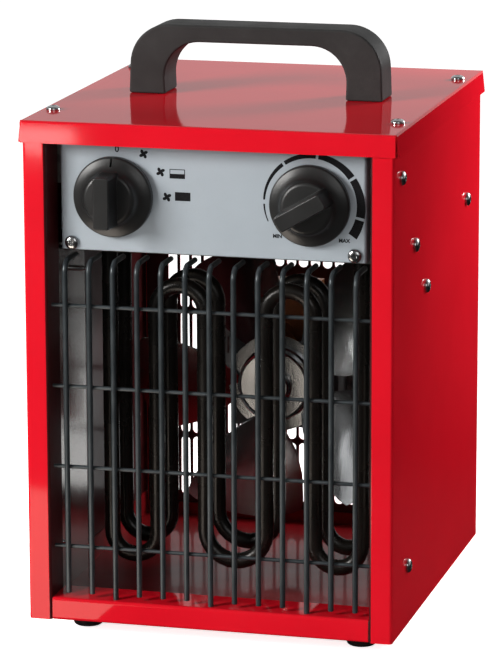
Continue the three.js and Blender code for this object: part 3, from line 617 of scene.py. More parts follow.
copperCoil = finish(
    "enamelledWinding",
    streakTone((0.30, 0.09, 0.03), (0.52, 0.20, 0.08), (40.0, 2200.0, 40.0)),
    streakGloss(0.22, 0.4, (40.0, 2200.0, 40.0)),
    streakGrain(0.0003, (40.0, 2600.0, 40.0)),
    Metallic=0.7, **{"Coat Weight": 0.4},
)
lamination = finish(
    "stackedLaminations",
    dusted(
        streakTone((0.06, 0.062, 0.065), grey(0.15), (12.0, 1900.0, 12.0)),
        (0.18, 0.08, 0.04), 0.25,
    ),
    streakGloss(0.4, 0.6, (12.0, 1900.0, 12.0)),
    streakGrain(0.0003, (12.0, 2600.0, 12.0)),
    Metallic=0.8,
)
palePlastic = finish(
    "paleMoulding",
    dusted(driftTone((0.60, 0.56, 0.45), (0.68, 0.64, 0.53), 40.0), (0.30, 0.26, 0.20), 0.2),
    driftGloss(0.4, 0.52, 60.0),
    fineGrain(0.00003, 1400.0),
)
print("finishes ready")


def dress(piece, material, slot, body, *nodes):
    piece.data.materials.clear()
    piece.data.materials.append(material)
    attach(piece, body)
    if nodes:
        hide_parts(*nodes)
    return piece


# camera at the photograph's place
view = {
    "place": (0.506326, -1.939040, 0.594689),
    "azimuth": 14.819,
    "elevation": 12.59,
    "roll": -0.186,
    "lens": 207.27,
}


def addCamera():
    azimuth, elevation, roll = (rad(view[key]) for key in ("azimuth", "elevation", "roll"))
    back = Vector(
        (
            math.sin(azimuth) * math.cos(elevation),
            -math.cos(azimuth) * math.cos(elevation),
            math.sin(elevation),
        )
    )
    right = Vector((math.cos(azimuth), math.sin(azimuth), 0))
    up = back.cross(right)
    across = right * math.cos(roll) + up * math.sin(roll)
    upward = up * math.cos(roll) - right * math.sin(roll)
    deselect()
    bpy.ops.object.camera_add()
    camera = bpy.context.object
    camera.matrix_world = (
        Matrix.Translation(view["place"]) @ Matrix((across, upward, back)).transposed().to_4x4()
    )
    camera.data.lens = view["lens"]
    camera.data.sensor_width = 36
    camera.data.clip_end = 30
    bpy.context.scene.camera = camera


addCamera()


# screws: a pan head with a cross recess for each kind, copied to every place
screw = {
    "kinds": {  # head radius and height, shank radius and length
        "plain": (0.0037, 0.0023, 0.0016, 0.009),
        "small": (0.0036, 0.0024, 0.002, 0.0085),
        "bolt": (0.0036, 0.0026, 0.0019, 0.030),
    },
    "seats": {
        "side_screw_left": ("plain", "-x"),
        "side_screw_right": ("plain", "+x"),
        "lid_screw": ("plain", "+z"),
        "panel_screw": ("plain", "-y"),
        "motor_bolt": ("bolt", "-y"),
        "foot_screw": ("small", "-z"),
        "handle_screw": ("small", "-z"),
    },
    "sides": 28,
    "tip": 0.35,  # share of the shank's radius
    "cheek": 0.28,  # share of the head's height that stands upright
    "crown": 0.25,  # shares of the head's radius
    "flat": 0.2,
    "domeSteps": 8,
    "crossWidth": 0.0011,
    "crossReach": 0.0021,
    "crossDepth": 0.0014,
    "crossTaper": (0.45, 0.7, 1),
    "edge": 0.00012,
}


def panScrew(name, radius, height, shank, length):
    cheek, crown = screw["cheek"], screw["crown"]
    profile = [(shank * screw["tip"], -length), (shank, -length + shank), (shank, 0), (radius, 0)]
    for step in range(screw["domeSteps"]):
        angle = math.pi / 2 * step / screw["domeSteps"]
        across = crown + (1 - crown) * math.cos(angle)
        profile.append((radius * across, height * (cheek + (1 - cheek) * math.sin(angle))))
    profile.append((radius * screw["flat"], height))
    head = turnedZ(name, profile, screw["sides"])
    reach, wide, deep = screw["crossReach"], screw["crossWidth"] / 2, screw["crossDepth"]
    for turn in (0, 90):
        recess = cube("cross", (-reach, -wide, height - deep), (reach, wide, height + 0.001))
        taper(recess, height, screw["crossTaper"], (0, 0, 0))
        carve(head, settle(recess, turned(turn)))
    roundEdges(head, screw["edge"])
    return smooth(head, 40)


def addScrews():
    patterns = {kind: panScrew(kind + "Pattern", *size) for kind, size in screw["kinds"].items()}
    for name in sorted(frame["nodes"]):
        seats = [seat for start, seat in screw["seats"].items() if name.startswith(start)]
        if not seats:
            continue
        kind, axis = seats[0]
        low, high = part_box(name)
        place = (low + high) / 2
        slot, rise = "xyz".index(axis[1]), screw["kinds"][kind][1]
        place[slot] = high[slot] - rise if axis[0] == "+" else low[slot] + rise
        seat = placed(place, axis, random.uniform(0, 90))
        piece = copyOf(patterns[kind], "pan_" + name, seat)
        dress(piece, chromePlate, "chrome", frame["nodes"][name]["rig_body"], name)
    for pattern in patterns.values():
        bpy.data.objects.remove(pattern)


addScrews()
print("screws placed")


# sheet-metal case with its back slots
case = {
    "sheet": 0.0008,
    "bend": 0.0013,
    "halfWidth": 0.0974,
    "halfDepth": 0.1094,
    "flangeX": 0.0859,
    "returnY": -0.0888,
    "bottom": 0.010,
    "top": 0.275,
    "edge": 0.00018,
}
slots = {
    "width": 0.0054,
    "length": 0.0346,
    "pitchX": 0.007,
    "pitchZ": 0.0368,
    "bottom": 0.0221,
    "upperRow": 0.1596,
    "columns": 24,
    "outerColumns": 4,
    "rows": 5,
    "middleRows": 2,
    "cut": 0.01,
}


def slotCutter(x, bottom, columns, rows):
    radius = slots["width"] / 2
    place = (x, case["halfDepth"], bottom + radius)
    cutter = rod("slotCutter", 20, radius, slots["cut"], place, (math.pi / 2, 0, 0))
    editAt(cutter, "verts", lambda v: v.co.z > bottom + radius + 1e-6)
    bpy.ops.transform.translate(value=(0, 0, slots["length"] - slots["width"]))
    objectMode()
    for count, step in ((columns, (slots["pitchX"], 0, 0)), (rows, (0, 0, slots["pitchZ"]))):
        if count > 1:
            repeated(cutter, count, step)
    return cutter


# puts a second, darker finish on the faces that pass the test: painted shade on inner faces
def paintShadeInside(piece, coat, test):
    piece.data.materials.append(coat)
    editAt(piece, "faces", test)
    piece.active_material_index = 1
    bpy.ops.object.material_slot_assign()
    objectMode()
    return piece


def facesInward(face):  # the inner skin of the walls, the back and the flanges
    place = middle(face)
    sheet = case["sheet"]
    if abs(place.x) < case["flangeX"] + sheet and place.y < case["returnY"] + sheet:
        return True
    if abs(place.x) > case["halfWidth"] - case["bend"]:
        return face.normal.x * place.x < -0.3 * abs(place.x)
    return face.normal.y * place.y < -0.3 * abs(place.y)


def buildCase():
    side, deep, flange, back = (
        case[key] for key in ("halfWidth", "halfDepth", "flangeX", "returnY")
    )
    half = [(side, deep), (side, -deep), (flange, -deep), (flange, back)]
    corners = [(-x, y) for x, y in reversed(half)] + half
    span = (case["bottom"], case["top"])
    wrap = folded("caseShell", corners, "z", span, case["sheet"], case["bend"])
    first = -(slots["columns"] - 1) / 2 * slots["pitchX"]
    outer = slots["outerColumns"]
    inner = slots["columns"] - 2 * outer
    second = first + outer * slots["pitchX"]
    cutters = [
        slotCutter(first, slots["bottom"], outer, slots["rows"]),
        slotCutter(second + inner * slots["pitchX"], slots["bottom"], outer, slots["rows"]),
        slotCutter(second, slots["bottom"], inner, slots["middleRows"]),
        slotCutter(second, slots["upperRow"], inner, 1),
    ]
    carve(wrap, joined("slotCutters", cutters))
    roundEdges(wrap, case["edge"])
    dress(smooth(wrap), redPaint, "red_paint", "case", "case_wrap")
    # the inner faces take the darker red: painted shade
    return paintShadeInside(wrap, paintedShadeInner, facesInward)


buildCase()
print("case folded")


# base pan: the front lip and the floor behind it
base = {
    "lipTop": 0.0218,
    "lipBack": -0.0858,
    "lipFront": -0.1091,
    "floor": 0.0104,
    "half": 0.0852,
    "trayHalf": 0.09655,
    "trayFront": -0.0885,
    "trayBack": 0.1074,
    "side": 0.0137,
    "rear": 0.0077,
    "ear": (-0.0816, -0.0656, 0.0500),
}


def buildBase():
    lip = folded(
        "lip",
        [
            (base["lipBack"], base["lipTop"]), (base["lipFront"], base["lipTop"]),
            (base["lipFront"], base["floor"]), (base["trayFront"], base["floor"]),
        ],
        "x", (-base["half"], base["half"]), case["sheet"], case["bend"],
    )
    half, front, rear, level = (
        base[key] for key in ("trayHalf", "trayFront", "trayBack", "floor")
    )
    tray = sized(
        plane("tray", 1, (0, (front + rear) / 2, level)), (2 * half, rear - front, 1)
    )
    finishWith(tray, "SUBSURF", subdivision_type="SIMPLE", levels=1, render_levels=1)
    for atEdge, rise in (
        (lambda place: near(abs(place.x), half), base["side"]),
        (lambda place: near(place.y, rear), base["rear"]),
    ):
        editAt(
            tray, "edges",
            lambda e: len(e.link_faces) == 1 and near(middle(e).z, level) and atEdge(middle(e)),
        )
        pull((0, 0, rise - case["sheet"] / 2), edges=True)
        objectMode()
    outward(tray)
    sheeted(tray, case["sheet"])
    earFront, earBack, earTop = base["ear"]
    ears = []
    for side in (-half, half):
        low, high = side - case["sheet"] / 2, side + case["sheet"] / 2
        ears.append(cube("ear", (low, earFront, level), (high, earBack, earTop)))
    pan = joined("basePan", [lip, tray, *ears])
    roundEdges(pan, case["edge"])
    dress(smooth(pan), redPaint, "red_paint", "case", "base_pan")
    inside = base["lipBack"] + 0.001
    # the floor behind the lip takes the darker red: painted shade
    return paintShadeInside(pan, paintedShadeTray, lambda f: f.normal.z > -0.3 and middle(f).y > inside)


buildBase()
print("base pan folded")


# lid: a flat plate with four skirts and open corners
lid = {
    "halfX": 0.0986,
    "halfY": 0.1106,
    "relief": 0.0017,
    "top": 0.27545,
    "drop": 0.0112,
    "flare": 0.0012,
    "bend": 0.0008,
}


def buildLid():
    halfX, halfY, relief = lid["halfX"], lid["halfY"], lid["relief"]
    flat = plane("lidPlate", 1, (0, 0, lid["top"]))
    plate = sized(flat, (2 * (halfX - relief), 2 * (halfY - relief), 1))
    edit(plate, "EDGE")
    for way in (Vector((1, 0, 0)), Vector((-1, 0, 0)), Vector((0, 1, 0)), Vector((0, -1, 0))):
        inner = (halfX if way.x else halfY) - relief
        pick(
            plate, "edges",
            lambda e: near(middle(e).dot(way), inner) and near(middle(e).z, lid["top"]),
        )
        pull(way * relief, edges=True)
        out = way * (lid["flare"] if way.x else 0)
        pull(out + Vector((0, 0, -lid["drop"])), edges=True)
    pick(
        plate, "edges",
        lambda e: len(e.link_faces) == 2
        and (near(abs(middle(e).x), halfX) or near(abs(middle(e).y), halfY)),
    )
    bpy.ops.mesh.bevel(offset=lid["bend"], segments=5, affect="EDGES")
    objectMode()
    outward(plate)
    sheeted(plate, case["sheet"])
    roundEdges(plate, case["edge"])
    return dress(smooth(plate), redPaint, "red_paint", "case", "lid")


buildLid()
print("lid folded")


# control panel and its printed scales
panel = {
    "half": 0.0806,
    "front": -0.0980,
    "returnY": -0.0884,
    "low": 0.2074,
    "high": 0.2747,
}
ink = {
    "face": -0.0984,
    "rise": 0.00004,
    "dial": (0.052, 0.2362),
    "inner": 0.0240,
    "thin": 0.0005,
    "thick": 0.0052,
    "arcs": [(-113, -91), (-86, -36), (-33, 6), (9, 55), (58, 102), (105, 125)],
    "rotors": [(-0.0362, 0.2588), (-0.0272, 0.2498), (-0.0239, 0.2369)],
    "vane": 0.00088,
    "vaneAt": (0.00135, 0.00035, 0),
    "vaneStretch": (1.35, 0.95, 1),
    "hub": 0.0009,
    "rotorTurn": 20,
    "frame": (-0.0224, 0.2467, -0.0142, 0.2516),
    "filled": (-0.0196, 0.2352, -0.0114, 0.2397),
    "line": 0.0004,
    "bold": 0.0001,
    "words": [
        ("0", 0.0046, (-0.0504, 0.2593)),
        ("MIN", 0.0027, (0.0345, 0.2184)),
        ("MAX", 0.0027, (0.0695, 0.2176)),
    ],
}


def buildPanel():
    half, front, back = panel["half"], panel["front"], panel["returnY"]
    plate = folded(
        "controlPlate", [(-half, back), (-half, front), (half, front), (half, back)],
        "z", (panel["low"], panel["high"]), case["sheet"], case["bend"],
    )
    roundEdges(plate, case["edge"])
    return dress(smooth(plate), greyPaint, "grey_paint", "case", "control_panel")


def inkBlock(x0, z0, x1, z1):
    return cube("inkBlock", (x0, ink["face"] - ink["rise"], z0), (x1, ink["face"], z1))


def scaleArc(start, end):
    # a wedge of ink that thickens clockwise, bent from a row of extruded strips
    first, last = ink["arcs"][0][0], ink["arcs"][-1][1]

    def reach(angle):
        share = (angle - first) / (last - first)
        return ink["inner"] + ink["thin"] + (ink["thick"] - ink["thin"]) * share

    steps = max(2, round((end - start) / 3))
    deselect()
    bpy.ops.mesh.primitive_grid_add(x_subdivisions=steps, y_subdivisions=1, size=1)
    strip = named("scaleArc")
    edit(strip, "VERT")
    mesh = bmesh.from_edit_mesh(strip.data)
    for v in mesh.verts:
        angle = start + (end - start) * (v.co.x + 0.5)
        radius = ink["inner"] if v.co.y < 0 else reach(angle)
        x = ink["dial"][0] + radius * math.sin(rad(angle))
        z = ink["dial"][1] + radius * math.cos(rad(angle))
        v.co = (x, ink["face"], z)
    bmesh.update_edit_mesh(strip.data)
    bpy.ops.mesh.select_all(action="SELECT")
    pull((0, -ink["rise"], 0))
    objectMode()
    return outward(strip)


def rotorMark(x, z):
    vanes = [rod("hub", 12, ink["hub"], ink["rise"] * 0.9)]
    for quarter in range(4):
        deselect()
        bpy.ops.mesh.primitive_cylinder_add(
            vertices=16, radius=ink["vane"], depth=ink["rise"], location=ink["vaneAt"]
        )
        vane = sized(named("vane"), ink["vaneStretch"])
        vanes.append(settle(vane, turned(90 * quarter + ink["rotorTurn"])))
    return settle(joined("rotorMark", vanes), placed((x, ink["face"] - ink["rise"] / 2, z), "-y"))


def inkWord(text, size, at):
    deselect()
    bpy.ops.object.text_add()
    word = bpy.context.object
    word.data.body = text
    word.data.size = size
    word.data.align_x = "CENTER"
    word.data.extrude = ink["rise"] / 2
    word.data.offset = ink["bold"]
    bpy.ops.object.convert(target="MESH")
    word = settle(bpy.context.object)
    return settle(word, placed((at[0], ink["face"] - ink["rise"] / 2, at[1]), "-y"))


def buildPrint():
    marks = [scaleArc(start, end) for start, end in ink["arcs"]]
    marks += [rotorMark(x, z) for x, z in ink["rotors"]]
    marks.append(inkBlock(*ink["filled"]))
    x0, z0, x1, z1 = ink["frame"]
    line, half = ink["line"], (z0 + z1) / 2
    marks += [
        inkBlock(x0, z0, x1, half),
        inkBlock(x0, z1 - line, x1, z1),
        inkBlock(x0, half, x0 + line, z1 - line),
        inkBlock(x1 - line, half, x1, z1 - line),
    ]
    marks += [inkWord(*word) for word in ink["words"]]
    return dress(joined("panelPrint", marks), printInk, "black_plastic", "case")


buildPanel()
buildPrint()
print("panel and print made")


# control knobs
knob = {
    "centreX": 0.052,
    "face": -0.0984,
    "height": 0.2362,
    "radius": 0.021,
    "skirt": 0.005,
    "dome": 0.014,
    "domeTop": 0.012,
    "gripHalf": 0.0042,
    "gripLength": 0.0135,
    "reach": 0.0252,
    "turn": 120,
    "rim": 0.0016,
    "crown": 0.0025,
    "gripFlare": (1.28, 1.04, 1),
    "gripCorner": 0.0016,
    "gripEdge": 0.0007,
    "notch": 0.0006,
}


def knobPattern():
    radius, skirt, dome, top = (knob[key] for key in ("radius", "skirt", "dome", "domeTop"))
    profile = [(radius - 0.0006, 0.0006), (radius, 0.0012), (radius, skirt - knob["rim"])]
    profile += quarterRound(radius, skirt, knob["rim"], 4)
    for out, rise in ((0.0036, 0.0010), (0.0014, 0.0022), (0.0006, 0.0036)):
        profile.append((dome + out, skirt + rise))
    profile += quarterRound(dome, top, knob["crown"], 5, 0)
    profile.append((dome * 0.4, top + 0.0002))
    body = turnedZ("knobPattern", profile, 72)
    half, length = knob["gripHalf"], knob["gripLength"]
    grip = cube("grip", (-half, -length, skirt), (half, length, knob["reach"]))
    taper(grip, skirt + 1e-5, knob["gripFlare"], (0, 0, skirt))
    upright = lambda e: abs(e.verts[0].co.z - e.verts[1].co.z) > 0.01
    bevelAt(grip, upright, knob["gripCorner"], 4)
    roundEdges(grip, knob["gripEdge"], 3, 50)
    carve(body, grip, "UNION")
    wide, inner, outer = knob["notch"], radius - 0.005, radius + 0.001
    carve(body, cube("notch", (-wide, inner, skirt - 0.001), (wide, outer, skirt + 0.004)))
    return smooth(body, 38)


def buildKnobs():
    pattern = knobPattern()
    for name, side, turn in (("selector", -1, 0), ("thermostat", 1, knob["turn"])):
        place = placed((side * knob["centreX"], knob["face"], knob["height"]), "-y", turn)
        dial = copyOf(pattern, name + "Dial", place)
        dress(dial, knobPlastic, "black_plastic", name, name + "_knob")
    bpy.data.objects.remove(pattern)


buildKnobs()
print("knobs made")


# carrying handle
handle = {
    "half": 0.068,
    "halfDepth": 0.012,
    "bottom": 0.2759,
    "top": 0.3134,
    "leg": 0.0175,
    "grip": 0.0092,
    "outer": 0.021,
    "inner": 0.020,
    "flare": 0.0014,
    "edge": 0.0013,
    "through": 0.004,
}


def archBlock(name, half, depth, low, high, radius, flare):
    block = cube(name, (-half, -depth, low), (half, depth, high))
    taper(block, low + 1e-5, ((half + flare) / half, 1, 1), (0, 0, low))
    bevelAt(
        block, lambda e: near(abs(middle(e).x), half) and near(middle(e).z, high), radius, 16
    )
    return block


def buildHandle():
    half, depth, low, high = (handle[key] for key in ("half", "halfDepth", "bottom", "top"))
    arch = archBlock("carryHandle", half, depth, low, high, handle["outer"], handle["flare"])
    inside = archBlock(
        "handleInside", half - handle["leg"], 2 * depth, low - handle["through"],
        high - handle["grip"], handle["inner"], -handle["flare"],
    )
    carve(arch, inside)
    roundEdges(arch, handle["edge"], 3, 40)
    return dress(smooth(arch, 30), blackPlastic, "black_plastic", "case", "handle")


buildHandle()
print("handle made")


# wire guard
guard = {
    "wire": 0.00145,
    "cross": 0.00105,
    "count": 13,
    "pitch": 0.01288,
    "y": -0.1051,
    "foot": 0.0244,
    "peg": 0.0182,
    "ceiling": 0.20205,
    "bend": 0.006,
    "tail": 0.020,
    "crossHeights": [0.0491, 0.0922, 0.1353, 0.1784],
    "crossHalf": 0.0852,
    "weld": 0.0003,
    "weldSize": (0.0011, 0.0009, 0.0014),
    "edge": 0.0002,
    "pegs": (-4, 0, 4),
}


def buildGuard():
    y, top, bend, foot = (guard[key] for key in ("y", "ceiling", "bend", "foot"))
    count, pitch = guard["count"], guard["pitch"]
    first = -(count - 1) / 2 * pitch
    middleUp = (top - bend + foot) / 2
    wire = rod("guardWires", 14, guard["wire"], top - bend - foot, (first, y, middleUp))
    editAt(wire, "faces", lambda f: f.normal.z > 0.9)
    bpy.ops.mesh.spin(
        steps=8, angle=math.pi / 2, center=(first, y + bend, top - bend), axis=(1, 0, 0)
    )
    pull((0, guard["tail"] - bend, 0))
    objectMode()
    outward(wire)
    roundEdges(wire, guard["edge"], 2, 60)
    repeated(wire, count, (pitch, 0, 0))
    editAt(  # the feet of the wires that reach into the base
        wire, "verts",
        lambda v: v.co.z < foot + 0.001
        and any(abs(v.co.x - step * pitch) < 0.003 for step in guard["pegs"]),
    )
    bpy.ops.transform.translate(value=(0, 0, guard["peg"] - foot))
    objectMode()
    crossY = y + guard["wire"] + guard["cross"] - guard["weld"]
    weldY = crossY - guard["cross"] * 0.6
    pieces = [wire]
    for height in guard["crossHeights"]:
        rail = rod(
            "rail", 12, guard["cross"], 2 * guard["crossHalf"],
            (0, crossY, height), (0, math.pi / 2, 0),
        )
        pieces.append(roundEdges(rail, guard["edge"], 2, 60))
        deselect()
        bpy.ops.mesh.primitive_uv_sphere_add(
            segments=10, ring_count=6, radius=1, location=(first, weldY, height)
        )
        weld = sized(named("weld"), guard["weldSize"])
        pieces.append(repeated(weld, count, (pitch, 0, 0)))
    grille = joined("wireGuard", pieces)
    return dress(smooth(grille, 50), wireCoat, "coated_wire", "case", "guard")


buildGuard()
print("guard made")


# tubular heating elements
element = {
    "radius": 0.00425,
    "legs": [-0.0684, -0.0430, -0.0165, 0.0165, 0.0430, 0.0684],
    "planes": [-0.0541, -0.0286],
    "lift": 0.004,
    "low": 0.0285,
    "high": 0.1855,
    "shelfUnder": 0.20375,
    "shelfOver": 0.20465,
    "end": 0.2096,
    "collar": 0.008,
    "pin": 0.0016,
    "pinTop": 0.2256,
    "washer": 0.003,
    "nut": 0.004,
    "edge": 0.0004,
}


def buildElement(name, index):
    y, legs, start, tubeRadius = (
        element["planes"][index], element["legs"], element["end"], element["radius"]
    )
    low = element["low"] + tubeRadius + index * element["lift"]
    high = element["high"] - tubeRadius
    first = low + (legs[1] - legs[0]) / 2
    tube = rod(name, 20, tubeRadius, start - first, (legs[0], y, (start + first) / 2))
    editAt(tube, "faces", lambda f: f.normal.z < -0.9)
    for leg, (here, there) in enumerate(zip(legs, legs[1:])):
        radius = (there - here) / 2
        down = leg % 2 == 0
        level = low + radius if down else high - radius
        bpy.ops.mesh.spin(
            steps=14, angle=math.pi if down else -math.pi,
            center=(here + radius, y, level), axis=(0, 1, 0),
        )
        target = start
        if leg + 2 < len(legs):
            following = (legs[leg + 2] - there) / 2
            target = high - following if down else low + following
        pull((0, 0, target - level))
    objectMode()
    outward(tube)
    pieces = [tube]
    under, over = element["shelfUnder"], element["shelfOver"]
    for x in (legs[0], legs[-1]):
        for kind, sides, radius, bottom, top in (
            ("washer", 32, element["collar"], under - element["washer"], under),
            ("hexNut", 6, element["collar"], over, over + element["nut"]),
            ("pin", 14, element["pin"], start - 0.001, element["pinTop"]),
        ):
            part = rod(kind, sides, radius, top - bottom, (x, y, (top + bottom) / 2))
            pieces.append(roundEdges(part, element["edge"], 2, 25))
    return joined(name, pieces)


for place, name in enumerate(("front", "rear")):
    heater = smooth(buildElement(name + "Heater", place), 40)
    dress(heater, elementSkin, "element_steel", "case", "heating_element_" + name)
print("elements bent")


# fan: five pitched blades on a pressed hub
fan = {
    "centre": (0, 0.0269, 0.110),
    "hub": [
        (0.027, -0.007), (0.027, -0.0061), (0.0208, -0.0061), (0.020, -0.0052), (0.020, 0.0010),
        (0.0195, 0.0016), (0.0188, 0.0014), (0.0184, 0.0009), (0.0182, 0.0002), (0.0104, 0),
        (0.0097, 0.0006), (0.0095, 0.0042), (0.0087, 0.005), (0.0028, 0.005),
    ],
    "webDepth": 0.007,
    "radius": 0.078,
    "sheet": 0.0009,
    "pitch": 27,
    "first": 39,
    "blades": 5,
    "camber": 0.0022,
    "twist": 5,
    "tipHalf": 0.029,
    "cornerFrom": 0.0241,
    "cornerReach": 0.0742,
    "cornerSlope": 0.65,
    "chords": [
        (0.0208, 0.006), (0.027, 0.013), (0.036, 0.021),
        (0.050, 0.0285), (0.066, 0.0335), (0.078, 0.033),
    ],
    "edge": 0.0002,
}


def chordAt(x):
    table = fan["chords"]
    for (x0, c0), (x1, c1) in zip(table, table[1:]):
        if x <= x1:
            return c0 + (c1 - c0) * (x - x0) / (x1 - x0)
    return table[-1][1]


def bladePattern():
    deselect()
    bpy.ops.mesh.primitive_grid_add(x_subdivisions=16, y_subdivisions=14, size=2)
    blade = named("bladePattern")
    edit(blade, "VERT")
    mesh = bmesh.from_edit_mesh(blade.data)
    root, tip = fan["chords"][0][0], fan["radius"]
    for v in mesh.verts:
        u, w = (v.co.x + 1) / 2, v.co.y
        side = abs(w) * fan["tipHalf"]
        if side < fan["cornerFrom"]:
            reach = math.sqrt(tip * tip - side * side)
        else:
            reach = fan["cornerReach"] - (side - fan["cornerFrom"]) * fan["cornerSlope"]
        x = root + (reach - root) * u
        y = w * chordAt(x)
        lift = fan["camber"] * (1 - w * w) * min(1, u * 2)
        twisted = rad(fan["twist"] * (0.5 - u))
        v.co = (x, y * math.cos(twisted) - lift * math.sin(twisted), lift + y * math.sin(twisted))
    bmesh.update_edit_mesh(blade.data)
    objectMode()
    finishWith(blade, "SOLIDIFY", thickness=fan["sheet"], offset=0)
    return roundEdges(blade, fan["edge"], 2, 60)


def buildFan():
    # axis up Z while it is made, the front of the hub at zero and facing up
    parts = [turnedZ("hubPressing", fan["hub"], 72)]
    pattern = bladePattern()
    seat = Matrix.Translation((0, 0, fan["sheet"] / 2 - fan["webDepth"]))
    for count in range(fan["blades"]):
        turn = turned(fan["first"] + 360 / fan["blades"] * count)
        parts.append(copyOf(pattern, "blade", turn @ seat @ turned(-fan["pitch"], "X")))
    bpy.data.objects.remove(pattern)
    rotor = settle(joined("fanRotor", parts), placed(fan["centre"], "-y"))
    return dress(smooth(rotor, 35), fanMetal, "fan_metal", "fan_rotor", "fan")


fanNut = {"radius": 0.0046, "bore": 0.0026, "edge": 0.0006, "turn": 12}


def buildFanNut():
    low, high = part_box("fan_nut")
    nut = rod("hubNut", 6, fanNut["radius"], high.y - low.y)
    roundEdges(nut, fanNut["edge"], 3, 25)
    carve(nut, rod("bore", 24, fanNut["bore"], 0.02))
    place = (0, (low.y + high.y) / 2, fan["centre"][2])
    settle(nut, placed(place, "-y", fanNut["turn"]))
    return dress(smooth(nut, 30), chromePlate, "chrome", "fan_rotor", "fan_nut")


buildFan()
buildFanNut()
print("fan made")


# feet: turned pads with a pocket for the screw, open below
foot = [
    (0.0042, 0.00495), (0.0042, 0), (0.0068, 0), (0.0076, 0.0006), (0.0080, 0.0016),
    (0.009, 0.00695), (0.009, 0.00955), (0.0086, 0.00995), (0.0025, 0.00995),
]


def buildFeet():
    pattern = turnedZ("footPattern", foot, 40)
    for count in range(1, 5):
        low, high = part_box(f"foot_{count}")
        centre = (low + high) / 2
        pad = copyOf(pattern, f"rubberFoot{count}", placed((centre.x, centre.y, low.z)))
        dress(smooth(pad, 40), rubber, "rubber", "case", f"foot_{count}")
    bpy.data.objects.remove(pattern)


buildFeet()
print("feet made")


# cord gland behind the case: a collar with ribs and an open bore
gland = {
    "place": (0.062, 0.10985, 0.247),
    "collar": [
        (0.007, -0.009), (0.007, 0), (0.010, 0),
        (0.010, 0.0024), (0.0094, 0.0030), (0.008, 0.0036),
    ],
    "body": 0.008,
    "ribs": 4,
    "ribStart": 0.0040,
    "ribTaper": 0.001,
    "groove": 0.0007,
    "reach": 0.0137,
    "end": [(0.0062, 0.0137), (0.0036, 0.0137), (0.0036, 0.002), (0.0006, 0.002)],
}


def buildGland():
    profile = list(gland["collar"])
    step = (gland["reach"] - gland["ribStart"]) / gland["ribs"]
    for rib in range(gland["ribs"]):
        low = gland["ribStart"] + rib * step
        outer = gland["body"] - gland["ribTaper"] * (rib + 1) / gland["ribs"]
        inner = outer - gland["groove"]
        profile += [
            (outer, low + 0.0004), (outer, low + step * 0.55),
            (inner, low + step * 0.62), (inner, low + step * 0.95),
        ]
    collar = turnedZ("cordGland", profile + gland["end"])
    settle(collar, placed(gland["place"], "+y"))
    return dress(smooth(collar, 38), blackPlastic, "black_plastic", "case", "cord_gland")


buildGland()
print("gland made")


# nodes whose shapes stay get their finishes
kept = [
    (zincSkin, ["divider_shelf", "motor_mount"]),
    (zincSkin, ["panel_bracket_left", "panel_bracket_right"]),
    (zincSkin, ["bearing_bridge_front", "bearing_bridge_rear"]),
    (shieldMetal, ["heat_shield_left", "heat_shield_right"]),
    (chromePlate, ["motor_shaft", "selector_shaft", "thermostat_shaft"]),
    (lamination, ["motor_rotor", "motor_stator"]),
    (copperCoil, ["motor_coil"]),
    (palePlastic, ["selector_body", "thermostat_body", "terminal_block"]),
    (blackPlastic, ["thermal_cutout", "gland_nut"]),
]
for keptFinish, keptNames in kept:
    for keptName in keptNames:
        keptSlots = frame["nodes"][keptName].data.materials
        keptSlots.clear()
        keptSlots.append(keptFinish)
print("kept pieces finished")


# floor, light and air
stage = {
    "floorSize": 8,
    "floorColour": (0.86, 0.86, 0.86),
    "cameraGain": 14.0,
    "glossyLoss": 0.95,
    "whiteShare": 0.84,
    "mirrorSide": 0.098,
    "mirrorFront": 0.05,
    "air": 0.08,
    "rearWhite": 0.7,
    "drop": -0.0005,
}


def addFloor():
    # lighter to the camera and darker to mirror rays than to the light that reaches the part
    floor = plane("paleFloor", stage["floorSize"], (0, 0, stage["drop"]))
    material = bpy.data.materials.new("paleFloor")
    material.use_nodes = True
    tree = material.node_tree
    tree.nodes.remove(tree.nodes["Principled BSDF"])
    path = node(tree, "LightPath").outputs
    camera, glossy = path["Is Camera Ray"], path["Is Glossy Ray"]
    lighter = reckon(tree, "MULTIPLY_ADD", camera, stage["cameraGain"] - 1, 1.0)
    gain = reckon(tree, "MULTIPLY_ADD", glossy, -stage["glossyLoss"], lighter)
    colour = node(tree, "VectorMath", {0: stage["floorColour"], "Scale": gain}, operation="SCALE")
    diffuse = node(tree, "BsdfDiffuse", {"Color": colour.outputs[0]}).outputs[0]
    white = node(tree, "Emission", {"Color": (1, 1, 1, 1), "Strength": 1.0}).outputs[0]
    place = node(tree, "SeparateXYZ", {0: node(tree, "NewGeometry").outputs["Position"]}).outputs
    # a strip of floor behind the heater stays white to mirror rays alone: a painted reflection
    beneath = reckon(
        tree, "LESS_THAN", reckon(tree, "ABSOLUTE", place["X"]), stage["mirrorSide"]
    )
    behind = reckon(tree, "GREATER_THAN", place["Y"], stage["mirrorFront"])
    mirrored = reckon(tree, "MULTIPLY", reckon(tree, "MULTIPLY", beneath, behind), glossy)
    seen = reckon(tree, "MAXIMUM", mirrored, camera)
    share = reckon(tree, "MULTIPLY", seen, stage["whiteShare"])
    both = node(tree, "MixShader", {0: share, 1: diffuse, 2: white}).outputs[0]
    tree.links.new(both, tree.nodes["Material Output"].inputs["Surface"])
    floor.data.materials.append(material)


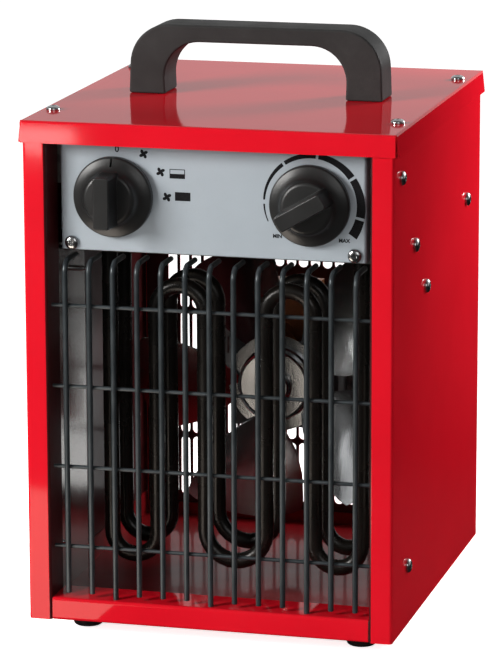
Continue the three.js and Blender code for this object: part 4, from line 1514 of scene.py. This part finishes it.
def addAir():  # dim to the light, and white to camera, mirror and glass rays
    world = bpy.data.worlds.new("studioAir")
    bpy.context.scene.world = world
    world.use_nodes = True
    tree = world.node_tree
    dim = tree.nodes["Background"]
    dim.inputs["Color"].default_value = (1, 1, 1, 1)
    dim.inputs["Strength"].default_value = stage["air"]
    path = node(tree, "LightPath").outputs
    camera = path["Is Camera Ray"]
    toward = node(tree, "SeparateXYZ", {0: node(tree, "TexCoord").outputs["Generated"]}).outputs
    ends = {"From Min": -0.2, "From Max": 0.5, "To Min": 0.1, "To Max": stage["rearWhite"]}
    rear = node(tree, "MapRange", {"Value": toward["Y"], **ends}).outputs["Result"]
    strength = reckon(tree, "MAXIMUM", camera, rear)
    white = node(tree, "Background", {"Color": (1, 1, 1, 1), "Strength": strength}).outputs[0]
    seen = reckon(tree, "MAXIMUM", camera, path["Is Glossy Ray"])
    seen = reckon(tree, "MAXIMUM", seen, path["Is Transmission Ray"])
    both = node(tree, "MixShader", {0: seen, 1: dim.outputs[0], 2: white}).outputs[0]
    tree.links.new(both, tree.nodes["World Output"].inputs["Surface"])


lamps = {
    "key": {
        "place": (-1.25, -1.3, 0.84), "aim": (0, -0.05, 0.18),
        "size": (0.7, 0.7), "power": 37, "colour": (1, 0.985, 0.96),
    },
    "low": {
        "place": (-0.372, -0.80, 0.145), "aim": (-0.372, 0, 0.145),
        "size": (0.17, 0.024), "power": 0.12, "colour": (1, 0.96, 0.92), "sheen": True,
    },
    "glow": {
        "place": (-0.17, -0.26, 0.002), "aim": (-0.17, -0.26, 1),
        "size": (0.20, 0.26), "power": 0.55, "colour": (1, 0.88, 0.76), "sheen": True,
    },
    "rear": {
        "place": (0.42, 0.42, 0.42), "aim": (0.098, 0.17, 0.24),
        "size": (0.2, 0.2), "power": 0.64, "spread": 62,
    },
    "fill": {
        "place": (0.75, -1.8, 0.9), "aim": (0, -0.05, 0.15),
        "size": (0.9, 0.9), "power": 4.5,
    },
}


def addLamps():
    for name, lamp in lamps.items():
        deselect()
        bpy.ops.object.light_add(type="AREA", location=lamp["place"])
        light = bpy.context.object
        light.name = name + "Lamp"
        light.data.shape = "RECTANGLE"
        light.data.size, light.data.size_y = lamp["size"]
        light.data.energy = lamp["power"]
        light.data.color = lamp.get("colour", (1, 1, 1))
        light.data.spread = rad(lamp.get("spread", 180))
        aim = Vector(lamp["aim"]) - Vector(lamp["place"])
        light.rotation_euler = aim.to_track_quat("-Z", "Y").to_euler()
        light.visible_camera = False
        light.visible_diffuse = not lamp.get("sheen", False)  # a sheen lamp is only mirrored


addFloor()
addAir()
addLamps()
bpy.context.scene.view_settings.view_transform = "Standard"
deselect()
print("stage lit")
